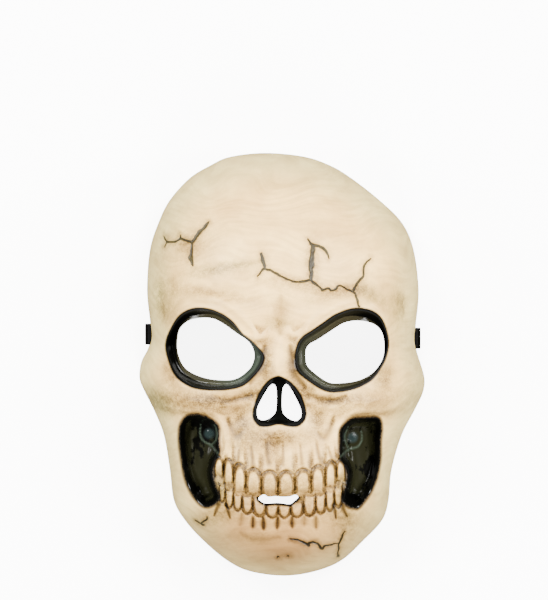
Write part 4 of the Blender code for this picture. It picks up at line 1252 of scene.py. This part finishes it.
# The back is the bare sheet, white and smooth.
bare = bpy.data.materials.new("bare_polystyrene")
bare.use_nodes = True
bare.node_tree.nodes["Principled BSDF"].inputs["Base Color"].default_value = linear("#E6E4DE")
bare.node_tree.nodes["Principled BSDF"].inputs["Roughness"].default_value = 0.38
formed_face.data.materials.clear()
formed_face.data.materials.append(painted)
formed_face.data.materials.append(bare)
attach(formed_face, "root")
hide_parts("mask_shell")


# The elastic
# One flat black elastic, woven of polyester over rubber, 14 mm wide and a little over 1 mm thick.
# Each end passes out through a slot and is folded back on itself, and the rest is tucked inside the
# forehead, standing on its edge.
# Just inside a slot: distance in and up as shares of its width, height of its middle as a share of
# the slot's, and how far it has turned from lying flat (0) to standing on its edge (1).
STRAP_TWIST = (
    (0.00, 0.00, 1.00, 0.00),
    (0.25, 0.01, 0.98, 0.28),
    (0.49, 0.10, 0.93, 0.62),
    (0.65, 0.34, 0.84, 0.86),
)
# Under the forehead: degrees round from the side, and share of the way out to the rim.
STRAP_ARCH = ((23, 0.84), (32, 0.845), (45, 0.83), (60, 0.80), (75, 0.79), (90, 0.79))
TAB_LENGTH = 0.008
TAB_BEND = 0.7 * STRAP_THICKNESS
STATION = 0.0006
RIB = 0.0014
RIBS = 10
RIB_POINTS = 4
RIB_DEPTH = 0.13
SELVEDGE_POWER = 14


def strap_half(side, up):
    """Middle line of the strap from a slot to the top of its arch, with its turn."""
    line = []
    for inwards, lift, height, turn in STRAP_TWIST:
        across = side * (slot_mouth(side, up) - inwards * STRAP_WIDTH)
        line.append((across, up * MASK_HEIGHT / 2 + lift * STRAP_WIDTH, height * SLOT_HEIGHT, turn))
    for degrees, share in STRAP_ARCH:
        angle = math.radians(degrees if side > 0 else 180 - degrees)
        reach = share * np.interp(angle, rim_angle, rim_reach, period=2 * math.pi)
        line.append((reach * math.cos(angle), reach * math.sin(angle), STRAP_WIDTH / 2, 1))
    return line


def tab_line(side, up):
    """Middle line of a folded end, from its tip down, round and up again to the slot."""
    inner = temple_reach(side, up)[1] + SLOT_CLEARANCE
    thick, bend = STRAP_THICKNESS, TAB_BEND
    top, low = SLOT_HEIGHT + thick / 2, SLOT_HEIGHT + 1.5 * thick - TAB_LENGTH
    path = [(1.5 * thick, top), (1.5 * thick, low)]
    path += [(thick + thick / 2 * math.cos(a), low - thick / 2 * math.sin(a))
             for a in np.linspace(0, math.pi, 9)[1:]]
    path += [(thick / 2 - bend + bend * math.cos(a), SLOT_HEIGHT - bend + bend * math.sin(a))
             for a in np.linspace(0, math.pi / 2, 7)]
    return [(side * (inner + out), up * MASK_HEIGHT / 2, height) for out, height in path]


inside = strap_half(-1, LEFT_SLOT_UP) + strap_half(1, RIGHT_SLOT_UP)[-2::-1]
inside = smooth_curve(inside, 12, closed=False)
turn = inside[:, 3].clip(0, 1) * math.pi / 2
standing = (np.sin(turn) * STRAP_WIDTH + np.cos(turn) * STRAP_THICKNESS) / 2
inside[:, 2] = np.maximum(inside[:, 2], standing)
ahead = np.gradient(inside[:, :2], axis=0)
ahead /= np.hypot(*ahead.T)[:, None]
ahead[0] = ahead[-1] = (1, 0)
wide = np.column_stack([-ahead[:, 1] * np.cos(turn), ahead[:, 0] * np.cos(turn), np.sin(turn)])
ends = [np.array(tab_line(-1, LEFT_SLOT_UP)), np.array(tab_line(1, RIGHT_SLOT_UP))[::-1]]
line = np.vstack([ends[0], inside[:, :3], ends[1]])
wide = np.vstack([np.tile([0, 1, 0], (len(ends[0]), 1)), wide, np.tile([0, 1, 0], (len(ends[1]), 1))])
run = np.concatenate([[0], np.cumsum(np.linalg.norm(np.diff(line, axis=0), axis=1))])
stations = np.linspace(0, run[-1], round(run[-1] / STATION))
line = np.stack([np.interp(stations, run, column) for column in line.T], 1)
wide = np.stack([np.interp(stations, run, column) for column in wide.T], 1)
tangent = np.gradient(line, axis=0)
tangent /= np.linalg.norm(tangent, axis=1)[:, None]
wide -= (wide * tangent).sum(1)[:, None] * tangent
wide /= np.linalg.norm(wide, axis=1)[:, None]
thick = np.cross(tangent, wide)

# Its section: ribs side by side between two rounded selvedges, the same above and below.
across = np.linspace(-1, 1, RIBS * RIB_POINTS + 1)
rounding = (1 - abs(across) ** SELVEDGE_POWER) ** 0.5
ribbing = 1 - RIB_DEPTH * (0.5 + 0.5 * np.cos(math.pi * RIBS * (across + 1)))
rise = rounding * ribbing * STRAP_THICKNESS / 2
section = np.column_stack([np.append(across, across[-2:0:-1]), np.append(rise, -rise[-2:0:-1])])
half = STRAP_WIDTH / 2
corners = (line[:, None] + wide[:, None] * section[None, :, :1] * half
           + thick[:, None] * section[None, :, 1:])
ring = len(section)
faces = []
for i in range(len(line) - 1):
    for j in range(ring):
        k = (j + 1) % ring
        faces.append((i * ring + j, i * ring + k, (i + 1) * ring + k, (i + 1) * ring + j))
faces.append(tuple(range(ring)))
faces.append(tuple(range(len(line) * ring - 1, (len(line) - 1) * ring - 1, -1)))
band = bpy.data.meshes.new("elastic_strap")
band.from_pydata(corners.reshape(-1, 3).tolist(), [], faces)
band.shade_smooth()
for name, values in (("along_mm", np.repeat(1000 * stations, ring)),
                     ("across_mm", np.tile(1000 * half * section[:, 0], len(line)))):
    band.attributes.new(name, "FLOAT", "POINT").data.foreach_set("value", values.astype(np.float32))
face_outwards(band)
elastic_strap = bpy.data.objects.new("elastic_strap", band)
bpy.context.scene.collection.objects.link(elastic_strap)

# Matt black yarn: the picks cross each rib at a slant, the other way on its neighbour.
elastic = bpy.data.materials.new("black_polyester_elastic")
elastic.use_nodes = True
tree = elastic.node_tree
yarn = tree.nodes["Principled BSDF"]
PICK = 0.9
PICK_SLANT = 0.8
YARN_RELIEF = 0.00012
along = add_node(tree, "ShaderNodeAttribute", {"attribute_name": "along_mm"}, {}).outputs["Fac"]
across = add_node(tree, "ShaderNodeAttribute", {"attribute_name": "across_mm"}, {}).outputs["Fac"]
zigzag = add_node(tree, "ShaderNodeMath", {"operation": "PINGPONG"}, {0: across, 1: 1000 * RIB}).outputs[0]
slanted = add_node(tree, "ShaderNodeMath", {"operation": "MULTIPLY_ADD"},
                   {0: zigzag, 1: PICK_SLANT, 2: along}).outputs[0]
picks = add_node(tree, "ShaderNodeMath", {"operation": "MULTIPLY"},
                 {0: slanted, 1: 2 * math.pi / PICK}).outputs[0]
picks = add_node(tree, "ShaderNodeMath", {"operation": "SINE"}, {0: picks}).outputs[0]
yarn_bumps = add_node(tree, "ShaderNodeBump", {},
                      {"Height": picks, "Strength": 0.8, "Distance": YARN_RELIEF})
tree.links.new(yarn_bumps.outputs["Normal"], yarn.inputs["Normal"])
yarn_tint = add_node(tree, "ShaderNodeMapRange", {}, {"Value": picks, "From Min": -1, "From Max": 1})
yarn_colour = add_node(tree, "ShaderNodeMix", {"data_type": "RGBA"},
                       {0: yarn_tint.outputs[0], 6: linear("#010101"), 7: linear("#050505")})
tree.links.new(yarn_colour.outputs[2], yarn.inputs["Base Color"])
yarn.inputs["Roughness"].default_value = 0.8
yarn.inputs["Specular IOR Level"].default_value = 0.10
band.materials.append(elastic)
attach(elastic_strap, "root")
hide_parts("elastic_band")
